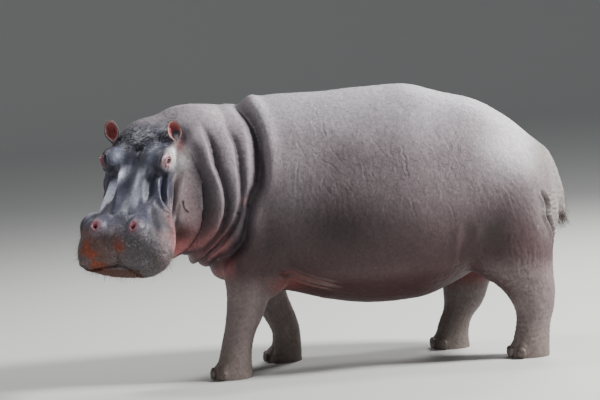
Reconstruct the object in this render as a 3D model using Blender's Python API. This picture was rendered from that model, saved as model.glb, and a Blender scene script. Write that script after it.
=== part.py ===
"""A life-size standing hippopotamus that turns its head to its left.

Metres, +Z up.  The animal walks towards -X, its left side faces -Y, and its soles are at Z = 0.
One closed skin is modelled first, then parted into head, neck, trunk, legs and tail.
"""
import math

import bmesh
import bpy
import numpy as np
from mathutils import Matrix, Vector

# ---------------------------------------------------------------- driving dimensions, in metres
GAP = 0.0003                    # clearance between touching pieces
VOXEL = 0.017                   # grain of the merged skin
SKIN_TRIANGLES = 4100           # faces left on the whole skin before it is parted
HEAD_CARE = 0.00025             # how much more finely the head is kept, from 0 to 1
RING = 40                       # points round a lofted ring

# Trunk stations from the neck to the rump: x, y of the middle, top, bottom, half width.
TRUNK = (
    (-1.06, -0.08, 1.452, 0.645, 0.330),
    (-0.95, -0.03, 1.456, 0.520, 0.355),
    (-0.84, 0.00, 1.440, 0.475, 0.375),
    (-0.70, 0.00, 1.465, 0.440, 0.400),
    (-0.55, 0.00, 1.480, 0.410, 0.440),
    (-0.35, 0.00, 1.473, 0.355, 0.495),
    (-0.10, 0.00, 1.482, 0.318, 0.530),
    (0.10, 0.00, 1.484, 0.322, 0.535),
    (0.30, 0.00, 1.428, 0.385, 0.515),
    (0.50, 0.00, 1.368, 0.490, 0.475),
    (0.68, 0.00, 1.250, 0.560, 0.410),
    (0.82, 0.00, 1.105, 0.600, 0.320),
    (0.89, 0.00, 0.985, 0.640, 0.230),
)
WIDEST_LEVEL = 0.45             # height of the trunk's widest level, as a share of its depth

# Neck stations: x, y, z of the middle, half depth, half width.
NECK = (
    (-0.78, 0.00, 0.98, 0.445, 0.400),
    (-0.95, -0.06, 1.015, 0.442, 0.395),
    (-1.08, -0.16, 1.048, 0.413, 0.360),
    (-1.19, -0.27, 1.00, 0.345, 0.290),
)

# Head frame: between the eyes, turned to the animal's left and pointing down.
EYE_MIDPOINT = Vector((-1.313, -0.35, 1.20))
HEAD_TURN = math.radians(63.0)      # from the walking direction towards the animal's left
HEAD_DROP = math.radians(43.0)
HEAD_TILT = math.radians(-3.0)
# Head stations: forward, top, bottom, half width at the top, middle and bottom.
HEAD = (
    (-0.36, -0.040, -0.405, 0.170, 0.248, 0.240),
    (-0.26, 0.028, -0.435, 0.182, 0.278, 0.262),
    (-0.15, 0.048, -0.440, 0.198, 0.286, 0.270),
    (-0.05, 0.030, -0.428, 0.180, 0.272, 0.258),
    (0.05, 0.000, -0.400, 0.160, 0.240, 0.226),
    (0.13, -0.028, -0.380, 0.144, 0.210, 0.198),
    (0.20, -0.045, -0.370, 0.150, 0.204, 0.190),
    (0.28, -0.056, -0.366, 0.174, 0.226, 0.194),
    (0.36, -0.060, -0.370, 0.210, 0.258, 0.203),
    (0.44, -0.070, -0.374, 0.218, 0.270, 0.207),
    (0.50, -0.115, -0.358, 0.198, 0.256, 0.186),
    (0.535, -0.185, -0.320, 0.140, 0.190, 0.140),
)
# Rounded masses on both sides of the head: forward, side, up, and the three radii.
BROW = (-0.020, 0.145, -0.012, 0.085, 0.064, 0.063)
NOSTRIL_RIM = (0.388, 0.112, -0.066, 0.064, 0.050, 0.036)
LIP_PAD = (0.405, 0.155, -0.208, 0.122, 0.112, 0.102)
LIP_SHOULDER = (0.342, -0.190, -0.138, 0.085, 0.070, 0.062)     # right side only
JOWL = (-0.070, 0.192, -0.222, 0.170, 0.088, 0.170)
CHIN = (0.370, 0.000, -0.310, 0.120, 0.150, 0.070)
EYE_RADIUS = 0.024
EYES = {                            # middles of the eyeballs, in the head's frame
    "left": (0.004, 0.184, 0.012),
    "right": (0.012, -0.170, 0.014),
}
EARS = {                            # root, and turn of the ear's mouth to the animal's left
    "left": ((-0.130, 0.194, -0.020), math.radians(22)),
    "right": ((-0.130, -0.180, -0.020), math.radians(14)),
}
EAR_RADII = (0.024, 0.040, 0.068)    # thick, wide, tall
EAR_RISE = 0.064                    # of an ear's middle above its root
EAR_LEAN = math.radians(9)          # of both tips, towards the animal's right
EAR_CUP_AHEAD = 1.15                # place and radii of the hollow, as shares of the ear's radii
EAR_CUP_UP = 0.18
EAR_CUP_RADII = (1.25, 0.76, 0.66)

# Leg stations: height, x, y, half length, half width.
LEG_FRONT_LEFT = (
    (0.95, -0.710, -0.220, 0.190, 0.150),
    (0.75, -0.735, -0.250, 0.172, 0.140),
    (0.58, -0.760, -0.265, 0.148, 0.130),
    (0.45, -0.780, -0.270, 0.118, 0.118),
    (0.32, -0.812, -0.270, 0.101, 0.104),
    (0.21, -0.852, -0.270, 0.086, 0.094),
    (0.14, -0.870, -0.270, 0.086, 0.094),
    (0.06, -0.885, -0.270, 0.096, 0.102),
    (-0.03, -0.890, -0.270, 0.098, 0.104),
)
LEG_FRONT_RIGHT = (
    (0.95, -0.720, 0.220, 0.190, 0.150),
    (0.75, -0.735, 0.240, 0.168, 0.140),
    (0.58, -0.735, 0.250, 0.143, 0.130),
    (0.45, -0.712, 0.250, 0.120, 0.118),
    (0.33, -0.668, 0.250, 0.100, 0.102),
    (0.24, -0.626, 0.250, 0.088, 0.094),
    (0.15, -0.600, 0.250, 0.077, 0.090),
    (0.06, -0.608, 0.250, 0.085, 0.098),
    (-0.03, -0.612, 0.250, 0.088, 0.102),
)
LEG_HIND_LEFT = (
    (0.95, 0.600, -0.220, 0.240, 0.190),
    (0.75, 0.620, -0.260, 0.225, 0.180),
    (0.58, 0.645, -0.280, 0.205, 0.155),
    (0.45, 0.662, -0.290, 0.182, 0.132),
    (0.34, 0.712, -0.290, 0.135, 0.110),
    (0.25, 0.728, -0.290, 0.106, 0.098),
    (0.16, 0.712, -0.290, 0.092, 0.096),
    (0.06, 0.695, -0.290, 0.098, 0.104),
    (-0.03, 0.690, -0.290, 0.100, 0.106),
)
LEG_HIND_RIGHT = (
    (0.95, 0.580, 0.220, 0.240, 0.190),
    (0.75, 0.545, 0.250, 0.225, 0.180),
    (0.58, 0.490, 0.270, 0.200, 0.155),
    (0.45, 0.438, 0.280, 0.168, 0.132),
    (0.34, 0.400, 0.280, 0.132, 0.110),
    (0.24, 0.385, 0.280, 0.113, 0.100),
    (0.15, 0.328, 0.280, 0.089, 0.094),
    (0.06, 0.306, 0.280, 0.092, 0.102),
    (-0.03, 0.306, 0.280, 0.096, 0.106),
)
TOE_ANGLES = (-62, -22, 22, 62)     # degrees from straight ahead
TOE_REACH = 0.082                   # from the middle of the foot to the middle of a toe
TOE_HEIGHT = 0.030
TOE_RADII = (0.042, 0.034, 0.052)
NAIL_AHEAD = 0.034                  # from the middle of a toe to the middle of its nail
NAIL_RADII = (0.015, 0.025, 0.026)
NAIL_HEIGHT = 0.033                 # of a nail's middle above the floor

# Tail stations from the root to the tip: x, z, half depth, half width.
TAIL = (
    (0.745, 1.115, 0.050, 0.060),
    (0.835, 1.045, 0.045, 0.055),
    (0.893, 0.930, 0.034, 0.046),
    (0.920, 0.830, 0.027, 0.038),
    (0.932, 0.740, 0.020, 0.030),
    (0.937, 0.680, 0.011, 0.017),
)
TAIL_SIDES = 10

# Shoulder and thigh on both sides: x, y, z, and the three radii.
SHOULDER = (-0.70, 0.235, 0.80, 0.225, 0.180, 0.400)
THIGH = (0.59, 0.215, 0.78, 0.270, 0.230, 0.400)

# Spaces that part the legs from the body: x of the front and rear at the sole and at the top,
# and height of the top next to the middle plane and on the outside.
LEG_SPLIT = 0.04                    # from the middle plane to a leg's space
LEG_SPACE_WIDTH = 0.80
LEGS = {
    "front_left": {"rows": LEG_FRONT_LEFT, "front": (-1.15, -0.93), "rear": (-0.46, -0.58),
                   "top": (0.50, 0.96)},
    "front_right": {"rows": LEG_FRONT_RIGHT, "front": (-0.95, -0.90), "rear": (-0.42, -0.56),
                    "top": (0.48, 0.96)},
    "hind_left": {"rows": LEG_HIND_LEFT, "front": (0.42, 0.50), "rear": (1.10, 1.10),
                  "top": (0.52, 1.05)},
    "hind_right": {"rows": LEG_HIND_RIGHT, "front": (0.10, 0.42), "rear": (1.10, 1.10),
                   "top": (0.52, 1.02)},
}
# Planes that part trunk, neck and head; each normal points towards the head.
NECK_JOIN = {"place": (-0.80, 0.00, 1.00), "normal": (-0.99, -0.12, 0.0)}
HEAD_JOIN = {"place": (-1.12, -0.15, 1.20), "normal": (-0.73, -0.67, -0.15)}

# Neck folds on the left side, from the top down: x and z along each rear edge.
FOLDS = {
    "cheek": ((-1.053, 1.243), (-0.992, 1.110), (-0.964, 0.947), (-0.990, 0.840)),
    "front": ((-0.946, 1.335), (-0.894, 1.148), (-0.858, 0.963), (-0.892, 0.830), (-1.032, 0.679)),
    "middle": ((-0.813, 1.312), (-0.775, 1.153), (-0.779, 0.971), (-0.854, 0.794), (-0.979, 0.668)),
    "rear": ((-0.709, 1.055), (-0.732, 0.974), (-0.780, 0.790), (-0.864, 0.686), (-0.956, 0.618)),
    "withers": ((-0.850, 1.480), (-0.727, 1.385), (-0.677, 1.253), (-0.682, 1.053), (-0.727, 0.886)),
}
FOLD_HEIGHT = {"cheek": 0.010, "front": 0.020, "middle": 0.018, "rear": 0.012, "withers": 0.022}
FOLD_WIDTH = 0.040
FOLD_STEPS = 60                     # points along a fold's route
FOLD_FADE = 20                      # of them, over which the withers fold fades out
DIP_DEPTH = 1.1                     # of a crease, as a share of the roll's rise

# Softening of the merged skin: rounds everywhere, and more where limbs and neck join.
SOFT_ROUNDS = 5
JOIN_ROUNDS = 26
FOOT_HEIGHT = 0.12                  # below this the joins are left crisp
FACE_REAR = 0.02                    # in the head's frame; ahead of this the face is left crisp
FINE_CENTRE = (0.0, 0.0, -0.15)     # from the point between the eyes; fine faces are kept round it
FINE_RADIUS = 0.40


# ---------------------------------------------------------------- curves and rings
def curve_through(keys, rows, at):
    """Smooth rows through the given rows, without overshoot."""
    keys = np.asarray(keys, float)
    rows = np.asarray(rows, float)
    step = np.diff(keys)[:, None]
    slope = np.diff(rows, axis=0) / step
    tangent = np.zeros_like(rows)
    same_way = slope[:-1] * slope[1:] > 0
    total = np.where(same_way, slope[:-1] + slope[1:], 1.0)
    tangent[1:-1] = np.where(same_way, 2 * slope[:-1] * slope[1:] / total, 0.0)
    tangent[0], tangent[-1] = slope[0], slope[-1]
    cell = np.clip(np.searchsorted(keys, at, side="right") - 1, 0, len(keys) - 2)
    length = step[cell]
    part = (at - keys[cell])[:, None] / length
    start = (1 + 2 * part) * (1 - part) ** 2 * rows[cell]
    start += part * (1 - part) ** 2 * length * tangent[cell]
    end = part ** 2 * (3 - 2 * part) * rows[cell + 1]
    end += part ** 2 * (part - 1) * length * tangent[cell + 1]
    return start + end


def stations(rows, count):
    """Rows of a station table at even steps of its first column."""
    rows = np.asarray(rows, float)
    if rows[0, 0] > rows[-1, 0]:
        rows = rows[::-1]
    at = np.linspace(rows[0, 0], rows[-1, 0], count)
    return curve_through(rows[:, 0], rows, at)


def along(rows, count):
    """Evenly many rows along a route given by a few rows."""
    return curve_through(range(len(rows)), rows, np.linspace(0, len(rows) - 1, count))


def ring_offsets(above, below, widths, squareness=2.2):
    """Side and height of the points round one ring; widths are half widths top, middle, bottom."""
    angle = np.arange(RING) * 2 * math.pi / RING
    side = np.sign(np.cos(angle)) * np.abs(np.cos(angle)) ** (2 / squareness)
    level = np.sign(np.sin(angle)) * np.abs(np.sin(angle)) ** (2 / squareness)
    high, middle, low = widths
    half = middle + level * (high - low) / 2 + level ** 2 * ((high + low) / 2 - middle)
    return side * half, np.where(level > 0, level * above, level * below)


def loft(bm, rings):
    """Add a closed body through rings of points."""
    rows = [[bm.verts.new(point) for point in ring] for ring in rings]
    faces = [bm.faces.new(rows[0][::-1]), bm.faces.new(rows[-1])]
    for near, far in zip(rows, rows[1:]):
        for k in range(len(near)):
            after = (k + 1) % len(near)
            faces.append(bm.faces.new((near[k], near[after], far[after], far[k])))
    bmesh.ops.recalc_face_normals(bm, faces=faces)
    bmesh.ops.triangulate(bm, faces=faces, quad_method="FIXED")


def mass(bm, centre, radii, axes=None, sides=24, rows=14):
    """Add an ellipsoid."""
    matrix = Matrix.Translation(Vector(centre))
    if axes is not None:
        matrix = matrix @ axes.to_4x4()
    matrix = matrix @ Matrix.Diagonal((*radii, 1.0))
    bmesh.ops.create_uvsphere(bm, u_segments=sides, v_segments=rows, radius=1.0, matrix=matrix)


# ---------------------------------------------------------------- the head's own frame
def head_axes():
    """Columns: forward, the animal's left, up."""
    left = Vector((math.sin(HEAD_TURN), -math.cos(HEAD_TURN), 0.0))
    forward = Vector((-math.cos(HEAD_TURN), -math.sin(HEAD_TURN), 0.0)) * math.cos(HEAD_DROP)
    forward.z = -math.sin(HEAD_DROP)
    up = left.cross(-forward)
    tilt = Matrix.Rotation(HEAD_TILT, 3, forward)
    return Matrix((forward, tilt @ left, tilt @ up)).transposed()


HEAD_AXES = head_axes()


def on_head(forward, side, up):
    """World place of a point given in the head's frame."""
    return EYE_MIDPOINT + HEAD_AXES @ Vector((forward, side, up))


# ---------------------------------------------------------------- forms of flesh
def add_trunk(bm):
    rings = []
    for x, y, top, bottom, half in stations(TRUNK, 48):
        middle = bottom + WIDEST_LEVEL * (top - bottom)
        widths = (half * 0.98, half, half)
        side, height = ring_offsets(top - middle, middle - bottom, widths, 2.15)
        rings.append([(x, y + s, middle + h) for s, h in zip(side, height)])
    loft(bm, rings)


def add_neck(bm):
    rows = along(NECK, 16)
    ahead = np.gradient(rows[:, :3], axis=0)
    rings = []
    for (x, y, z, depth, half), way in zip(rows, ahead):
        across = Vector((way[1], -way[0], 0)).normalized()
        side, height = ring_offsets(depth, depth, (half * 0.92, half, half * 0.92))
        rings.append([Vector((x, y, z + h)) + across * s for s, h in zip(side, height)])
    loft(bm, rings)


def add_head(bm):
    rings = []
    for forward, top, bottom, *widths in stations(HEAD, 44):
        middle = 0.5 * (top + bottom)
        half = 0.5 * (top - bottom)
        side, height = ring_offsets(half, half, widths, 2.6)
        rings.append([on_head(forward, s, middle + h) for s, h in zip(side, height)])
    loft(bm, rings)
    for forward, side, up, *radii in (BROW, NOSTRIL_RIM, LIP_PAD, JOWL, CHIN):
        for way in (-1, 1) if side else (1,):
            mass(bm, on_head(forward, way * side, up), radii, HEAD_AXES)
    mass(bm, on_head(*LIP_SHOULDER[:3]), LIP_SHOULDER[3:], HEAD_AXES)


def toe_places(rows):
    """Middle of each toe of a foot, and the way it points."""
    foot = Vector((rows[-1][1], rows[-1][2], TOE_HEIGHT))
    places = []
    for angle in TOE_ANGLES:
        turn = math.radians(180 + angle)
        ahead = Vector((math.cos(turn), math.sin(turn), 0.0))
        places.append((foot + ahead * TOE_REACH, ahead))
    return places


def add_leg(bm, rows):
    rings = []
    for z, x, y, length, half in stations(rows, 30):
        side, ahead = ring_offsets(half, half, (length, length, length), 2.1)
        rings.append([(x + s, y + a, z) for s, a in zip(side, ahead)])
    loft(bm, rings)
    for centre, ahead in toe_places(rows):
        mass(bm, centre, TOE_RADII, Matrix.Rotation(math.atan2(ahead.y, ahead.x), 3, "Z"))


def tail_form(grow):
    rows = along(TAIL, 10)
    ahead = np.gradient(rows[:, :2], axis=0)
    ahead /= np.linalg.norm(ahead, axis=1)[:, None]
    rows[0, :2] -= ahead[0] * grow
    angle = np.arange(TAIL_SIDES) * 2 * math.pi / TAIL_SIDES
    rings = []
    for (x, z, depth, half), way in zip(rows, ahead):
        across = Vector((way[1], 0, -way[0]))
        rings.append([
            Vector((x, 0, z)) + across * ((depth + grow) * math.cos(a))
            + Vector((0, (half + grow) * math.sin(a), 0)) for a in angle
        ])
    bm = bmesh.new()
    loft(bm, rings)
    return bm


def add_body_masses(bm):
    for x, y, z, *radii in (SHOULDER, THIGH):
        mass(bm, (x, -y, z), radii)
        mass(bm, (x, y, z), radii)


# ---------------------------------------------------------------- objects
def new_object(name, bm):
    mesh = bpy.data.meshes.new(name)
    bm.to_mesh(mesh)
    bm.free()
    obj = bpy.data.objects.new(name, mesh)
    bpy.context.scene.collection.objects.link(obj)
    return obj


def bake(obj):
    """Give an object the shape that its modifiers make."""
    graph = bpy.context.evaluated_depsgraph_get()
    mesh = bpy.data.meshes.new_from_object(obj.evaluated_get(graph))
    obj.modifiers.clear()
    obj.data = mesh


def material(name, colour, roughness):
    finish = bpy.data.materials.new(name)
    finish.use_nodes = True
    shader = finish.node_tree.nodes["Principled BSDF"]
    shader.inputs["Base Color"].default_value = (*colour, 1.0)
    shader.inputs["Roughness"].default_value = roughness
    shader.inputs["Metallic"].default_value = 0.0
    return finish


# ---------------------------------------------------------------- the whole skin
def coordinates(mesh):
    points = np.empty(len(mesh.vertices) * 3)
    mesh.vertices.foreach_get("co", points)
    normals = np.empty(len(mesh.vertices) * 3)
    mesh.vertices.foreach_get("normal", normals)
    return points.reshape(-1, 3), normals.reshape(-1, 3)


def weigh(obj, name, weights):
    """Vertex group with a weight for each vertex, rounded to tenths."""
    group = obj.vertex_groups.new(name=name)
    levels = np.round(np.clip(weights, 0, 1) * 10).astype(int)
    for level in range(1, 11):
        members = np.nonzero(levels == level)[0].tolist()
        if members:
            group.add(members, level / 10, "REPLACE")


def press_folds(mesh):
    """Raise each neck roll and press the crease behind it, on the left side."""
    points, normals = coordinates(mesh)
    moved = points.copy()
    near_side = np.clip((0.15 - normals[:, 1]) / 0.5, 0, 1)
    for name, route in FOLDS.items():
        line = along(route, FOLD_STEPS)
        way = np.gradient(line, axis=0)
        way /= np.linalg.norm(way, axis=1)[:, None]
        apart = points[:, None, ::2] - line[None, :, :]
        nearest = np.argmin((apart ** 2).sum(axis=2), axis=1)
        gap = apart[np.arange(len(points)), nearest]
        behind = gap[:, 0] * -way[nearest, 1] + gap[:, 1] * way[nearest, 0]
        sideways = np.linalg.norm(gap, axis=1)
        ends = np.sin(nearest / (FOLD_STEPS - 1) * math.pi) ** 0.5
        if name == "withers":
            ends = np.clip((FOLD_STEPS - 1 - nearest) / FOLD_FADE, 0, 1)
        beyond = np.exp(-((sideways - np.abs(behind)) / 0.02) ** 2)
        rise = np.exp(-((behind + 0.6 * FOLD_WIDTH) / FOLD_WIDTH) ** 2)
        dip = np.exp(-((behind - 0.5 * FOLD_WIDTH) / (0.45 * FOLD_WIDTH)) ** 2)
        push = FOLD_HEIGHT[name] * (rise - DIP_DEPTH * dip) * ends * beyond * near_side
        moved += normals * push[:, None]
    mesh.vertices.foreach_set("co", moved.ravel())
    mesh.update()


def whole_skin():
    """One closed skin of the whole animal, smooth where limbs join, flat under the soles."""
    bm = bmesh.new()
    add_trunk(bm)
    add_neck(bm)
    add_head(bm)
    add_body_masses(bm)
    for rows in (LEG_FRONT_LEFT, LEG_FRONT_RIGHT, LEG_HIND_LEFT, LEG_HIND_RIGHT):
        add_leg(bm, rows)
    skin = new_object("skin", bm)
    merge = skin.modifiers.new("merge", "REMESH")
    merge.mode = "VOXEL"
    merge.voxel_size = VOXEL
    bake(skin)
    points, _ = coordinates(skin.data)
    from_head = np.array([(Vector(p) - EYE_MIDPOINT) @ HEAD_AXES for p in points])
    rear = np.clip((FACE_REAR - from_head[:, 0]) / 0.25, 0, 1)
    weigh(skin, "joins", rear * np.clip((points[:, 2] - FOOT_HEIGHT) / 0.1, 0, 1))
    for name, group, rounds in (("soften", "", SOFT_ROUNDS), ("blend", "joins", JOIN_ROUNDS)):
        smooth = skin.modifiers.new(name, "SMOOTH")
        smooth.factor = 0.5
        smooth.iterations = rounds
        smooth.vertex_group = group
    bake(skin)
    press_folds(skin.data)
    reduce_faces(skin)
    level_soles(skin)
    return skin


def reduce_faces(skin):
    """Keep fewer faces, and relatively more of them on the head."""
    points, _ = coordinates(skin.data)
    skin.vertex_groups.clear()
    from_face = np.linalg.norm(points - np.array(EYE_MIDPOINT + Vector(FINE_CENTRE)), axis=1)
    weigh(skin, "plain", 0.5 + 0.5 * np.clip(from_face / FINE_RADIUS - 1, 0, 1))
    fewer = skin.modifiers.new("fewer", "DECIMATE")
    skin.data.calc_loop_triangles()
    fewer.ratio = SKIN_TRIANGLES / len(skin.data.loop_triangles)
    fewer.vertex_group = "plain"
    fewer.vertex_group_factor = HEAD_CARE
    bake(skin)
    skin.vertex_groups.clear()


def level_soles(skin):
    bm = bmesh.new()
    bm.from_mesh(skin.data)
    everything = bm.verts[:] + bm.edges[:] + bm.faces[:]
    cut = bmesh.ops.bisect_plane(
        bm, geom=everything, plane_co=(0, 0, 0), plane_no=(0, 0, 1), clear_inner=True)
    rim = [item for item in cut["geom_cut"] if isinstance(item, bmesh.types.BMEdge)]
    bmesh.ops.holes_fill(bm, edges=rim)
    bmesh.ops.recalc_face_normals(bm, faces=bm.faces[:])
    bm.to_mesh(skin.data)
    bm.free()


# ---------------------------------------------------------------- parting the skin
def carve(obj, cutter, operation="DIFFERENCE"):
    """Cut one object by another, which is used up."""
    cut = obj.modifiers.new(operation.lower(), "BOOLEAN")
    cut.operation = operation
    cut.solver = "EXACT"
    cut.object = cutter
    bake(obj)
    bpy.data.objects.remove(cutter)


def copy_of(obj, name):
    twin = bpy.data.objects.new(name, obj.data.copy())
    bpy.context.scene.collection.objects.link(twin)
    return twin


def keep_side(obj, plane, ahead):
    """Keep what lies on one side of a plane, half a clearance from it, and close the cut."""
    place, normal = Vector(plane["place"]), Vector(plane["normal"]).normalized()
    bm = bmesh.new()
    bm.from_mesh(obj.data)
    everything = bm.verts[:] + bm.edges[:] + bm.faces[:]
    place += normal * (GAP / 2 if ahead else -GAP / 2)
    cut = bmesh.ops.bisect_plane(
        bm, geom=everything, plane_co=place, plane_no=normal, clear_inner=ahead, clear_outer=not ahead)
    rim = [item for item in cut["geom_cut"] if isinstance(item, bmesh.types.BMEdge)]
    bmesh.ops.triangle_fill(bm, use_beauty=True, use_dissolve=False, edges=rim)
    bmesh.ops.recalc_face_normals(bm, faces=bm.faces[:])
    bm.to_mesh(obj.data)
    bm.free()


def leg_space(leg, grow):
    """A wedge round one leg; its top rises outwards over the shoulder or thigh."""
    side = math.copysign(1, leg["rows"][0][2])
    inner, outer = side * (LEG_SPLIT - grow), side * LEG_SPACE_WIDTH
    top_inside, top_outside = leg["top"]
    bm = bmesh.new()
    ends = []
    for end, way in (("front", -1), ("rear", 1)):
        low, high = (x + way * grow for x in leg[end])
        ends.append([bm.verts.new(corner) for corner in (
            (low, inner, -0.1), (low, outer, -0.1),
            (high, outer, top_outside + grow), (high, inner, top_inside + grow))])
    near, far = ends
    bm.faces.new(near)
    bm.faces.new(far[::-1])
    for k in range(4):
        after = (k + 1) % 4
        bm.faces.new((near[after], near[k], far[k], far[after]))
    faces = bm.faces[:]
    bmesh.ops.recalc_face_normals(bm, faces=faces)
    bmesh.ops.triangulate(bm, faces=faces, quad_method="FIXED")
    return new_object("leg_space", bm)


def oval(name, centre, radii, axes, sides, rows, grow=0.0):
    bm = bmesh.new()
    mass(bm, centre, [radius + grow for radius in radii], axes, sides, rows)
    return new_object(name, bm)


def set_in(host, name, finish, *shape):
    """Add an oval piece, and press the room for it into the piece that holds it."""
    piece = oval(name, *shape)
    piece.data.materials.append(finish)
    carve(host, oval("room", *shape, GAP))
    return piece


def add_nails(leg_object, name, rows, finish):
    for number, (centre, ahead) in enumerate(toe_places(rows), 1):
        axes = Matrix.Rotation(math.atan2(ahead.y, ahead.x), 3, "Z")
        place = centre + ahead * NAIL_AHEAD
        place.z = NAIL_HEIGHT
        set_in(leg_object, f"nail_{name}_{number}", finish, place, NAIL_RADII, axes, 8, 5)


def add_ears(head, finish):
    forward = HEAD_AXES.col[0]
    for name, (root, turn) in EARS.items():
        facing = math.atan2(forward.y, forward.x) + turn
        axes = Matrix.Rotation(facing, 3, "Z") @ Matrix.Rotation(EAR_LEAN, 3, "X")
        centre = on_head(*root) + axes @ Vector((0, 0, EAR_RISE))
        ear = set_in(head, "ear_" + name, finish, centre, EAR_RADII, axes, 14, 9)
        thick, _, tall = EAR_RADII
        mouth = centre + axes @ Vector((thick * EAR_CUP_AHEAD, 0, tall * EAR_CUP_UP))
        hollow = [share * radius for share, radius in zip(EAR_CUP_RADII, EAR_RADII)]
        carve(ear, oval("cup", mouth, hollow, axes, 12, 7))


def add_eyes(head, finish):
    for name, place in EYES.items():
        set_in(head, "eye_" + name, finish, on_head(*place), (EYE_RADIUS,) * 3, HEAD_AXES, 14, 8)


def add_tail_to(trunk):
    tail = new_object("tail", tail_form(0.0))
    carve(trunk, new_object("room", tail_form(2 * GAP)))
    return tail


def centre_on_floor():
    """Put the middle of the whole animal's box over the origin."""
    points = np.concatenate([coordinates(obj.data)[0] for obj in bpy.data.objects])
    middle = (points.min(axis=0) + points.max(axis=0)) / 2
    move = Matrix.Translation((-middle[0], -middle[1], 0))
    for obj in bpy.data.objects:
        obj.data.transform(move)


def main():
    for obj in list(bpy.data.objects):
        bpy.data.objects.remove(obj)
    hide = material("hide", (0.165, 0.135, 0.140), 0.55)
    flesh = material("ear_flesh", (0.300, 0.110, 0.100), 0.60)
    horn = material("nail_horn", (0.075, 0.060, 0.055), 0.45)
    wet = material("eye_wet", (0.030, 0.018, 0.014), 0.08)

    skin = whole_skin()
    body = copy_of(skin, "body")
    for name, leg in LEGS.items():
        limb = copy_of(skin, "leg_" + name)
        carve(limb, leg_space(leg, 0.0), "INTERSECT")
        carve(body, leg_space(leg, GAP))
        add_nails(limb, name, leg["rows"], horn)
        limb.data.materials.append(hide)
    trunk = copy_of(body, "trunk")
    keep_side(trunk, NECK_JOIN, False)
    neck = copy_of(body, "neck")
    keep_side(neck, NECK_JOIN, True)
    head = copy_of(neck, "head")
    keep_side(neck, HEAD_JOIN, False)
    keep_side(head, HEAD_JOIN, True)
    bpy.data.objects.remove(skin)
    bpy.data.objects.remove(body)

    add_ears(head, flesh)
    add_eyes(head, wet)
    tail = add_tail_to(trunk)
    for obj in (trunk, neck, head, tail):
        obj.data.materials.append(hide)
    centre_on_floor()


main()
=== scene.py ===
"""Looks of the life-size standing hippopotamus, modelled round its CAD frame.

The skin is modelled in the same design coordinates as the solids, then moved onto them.
"""
import math

import bmesh
import bpy
import numpy as np
from mathutils import Matrix, Vector
from mathutils.bvhtree import BVHTree


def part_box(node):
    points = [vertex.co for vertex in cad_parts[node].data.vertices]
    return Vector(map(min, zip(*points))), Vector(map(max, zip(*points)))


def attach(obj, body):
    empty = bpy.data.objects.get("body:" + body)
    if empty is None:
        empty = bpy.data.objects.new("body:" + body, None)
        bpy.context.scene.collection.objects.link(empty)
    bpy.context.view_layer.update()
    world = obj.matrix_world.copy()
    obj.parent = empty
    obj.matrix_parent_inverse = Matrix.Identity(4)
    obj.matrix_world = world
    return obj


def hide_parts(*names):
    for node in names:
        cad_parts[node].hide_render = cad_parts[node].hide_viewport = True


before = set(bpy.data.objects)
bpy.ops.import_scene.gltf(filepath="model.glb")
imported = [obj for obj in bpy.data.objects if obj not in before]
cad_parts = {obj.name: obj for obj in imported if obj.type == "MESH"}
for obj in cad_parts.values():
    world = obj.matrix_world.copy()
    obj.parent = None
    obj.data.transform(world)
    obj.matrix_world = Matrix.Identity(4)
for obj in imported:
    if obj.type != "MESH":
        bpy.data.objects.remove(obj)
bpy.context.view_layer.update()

# ---------------------------------------------------------------- forms shared with the solids
BASE_VOXEL = 0.013
RING = 56
TRUNK = (
    (-1.06, -0.08, 1.452, 0.645, 0.330),
    (-0.95, -0.03, 1.456, 0.520, 0.355),
    (-0.84, 0.00, 1.440, 0.475, 0.375),
    (-0.70, 0.00, 1.465, 0.440, 0.400),
    (-0.55, 0.00, 1.480, 0.410, 0.440),
    (-0.35, 0.00, 1.473, 0.355, 0.495),
    (-0.10, 0.00, 1.482, 0.318, 0.530),
    (0.10, 0.00, 1.484, 0.322, 0.535),
    (0.30, 0.00, 1.428, 0.385, 0.515),
    (0.50, 0.00, 1.368, 0.490, 0.475),
    (0.68, 0.00, 1.250, 0.560, 0.410),
    (0.82, 0.00, 1.105, 0.600, 0.320),
    (0.89, 0.00, 0.985, 0.640, 0.230),
)
WIDEST_LEVEL = 0.45
NECK = (
    (-0.78, 0.00, 0.98, 0.445, 0.400),
    (-0.95, -0.06, 1.015, 0.442, 0.395),
    (-1.08, -0.16, 1.048, 0.413, 0.360),
    (-1.19, -0.27, 1.00, 0.345, 0.290),
)
EYE_MIDPOINT = Vector((-1.313, -0.35, 1.20))
HEAD_TURN = math.radians(63.0)
HEAD_DROP = math.radians(43.0)
HEAD_TILT = math.radians(-3.0)
HEAD = (
    (-0.36, -0.040, -0.405, 0.170, 0.248, 0.240),
    (-0.26, 0.028, -0.435, 0.182, 0.278, 0.262),
    (-0.15, 0.048, -0.440, 0.198, 0.286, 0.270),
    (-0.05, 0.030, -0.428, 0.180, 0.272, 0.258),
    (0.05, 0.000, -0.400, 0.160, 0.240, 0.226),
    (0.13, -0.028, -0.380, 0.144, 0.210, 0.198),
    (0.20, -0.045, -0.370, 0.150, 0.204, 0.190),
    (0.28, -0.056, -0.366, 0.174, 0.226, 0.194),
    (0.36, -0.060, -0.370, 0.210, 0.258, 0.203),
    (0.44, -0.070, -0.374, 0.218, 0.270, 0.207),
    (0.50, -0.115, -0.358, 0.198, 0.256, 0.186),
    (0.535, -0.185, -0.320, 0.140, 0.190, 0.140),
)
BROW = (-0.020, 0.145, -0.012, 0.085, 0.064, 0.063)
NOSTRIL_RIM = (0.388, 0.112, -0.066, 0.064, 0.050, 0.036)
LIP_PAD = (0.405, 0.155, -0.208, 0.122, 0.112, 0.102)
LIP_SHOULDER = (0.342, -0.190, -0.138, 0.085, 0.070, 0.062)     # right side only
JOWL = (-0.070, 0.192, -0.222, 0.170, 0.088, 0.170)
CHIN = (0.370, 0.000, -0.310, 0.120, 0.150, 0.070)
EYE_RADIUS = 0.024
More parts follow.
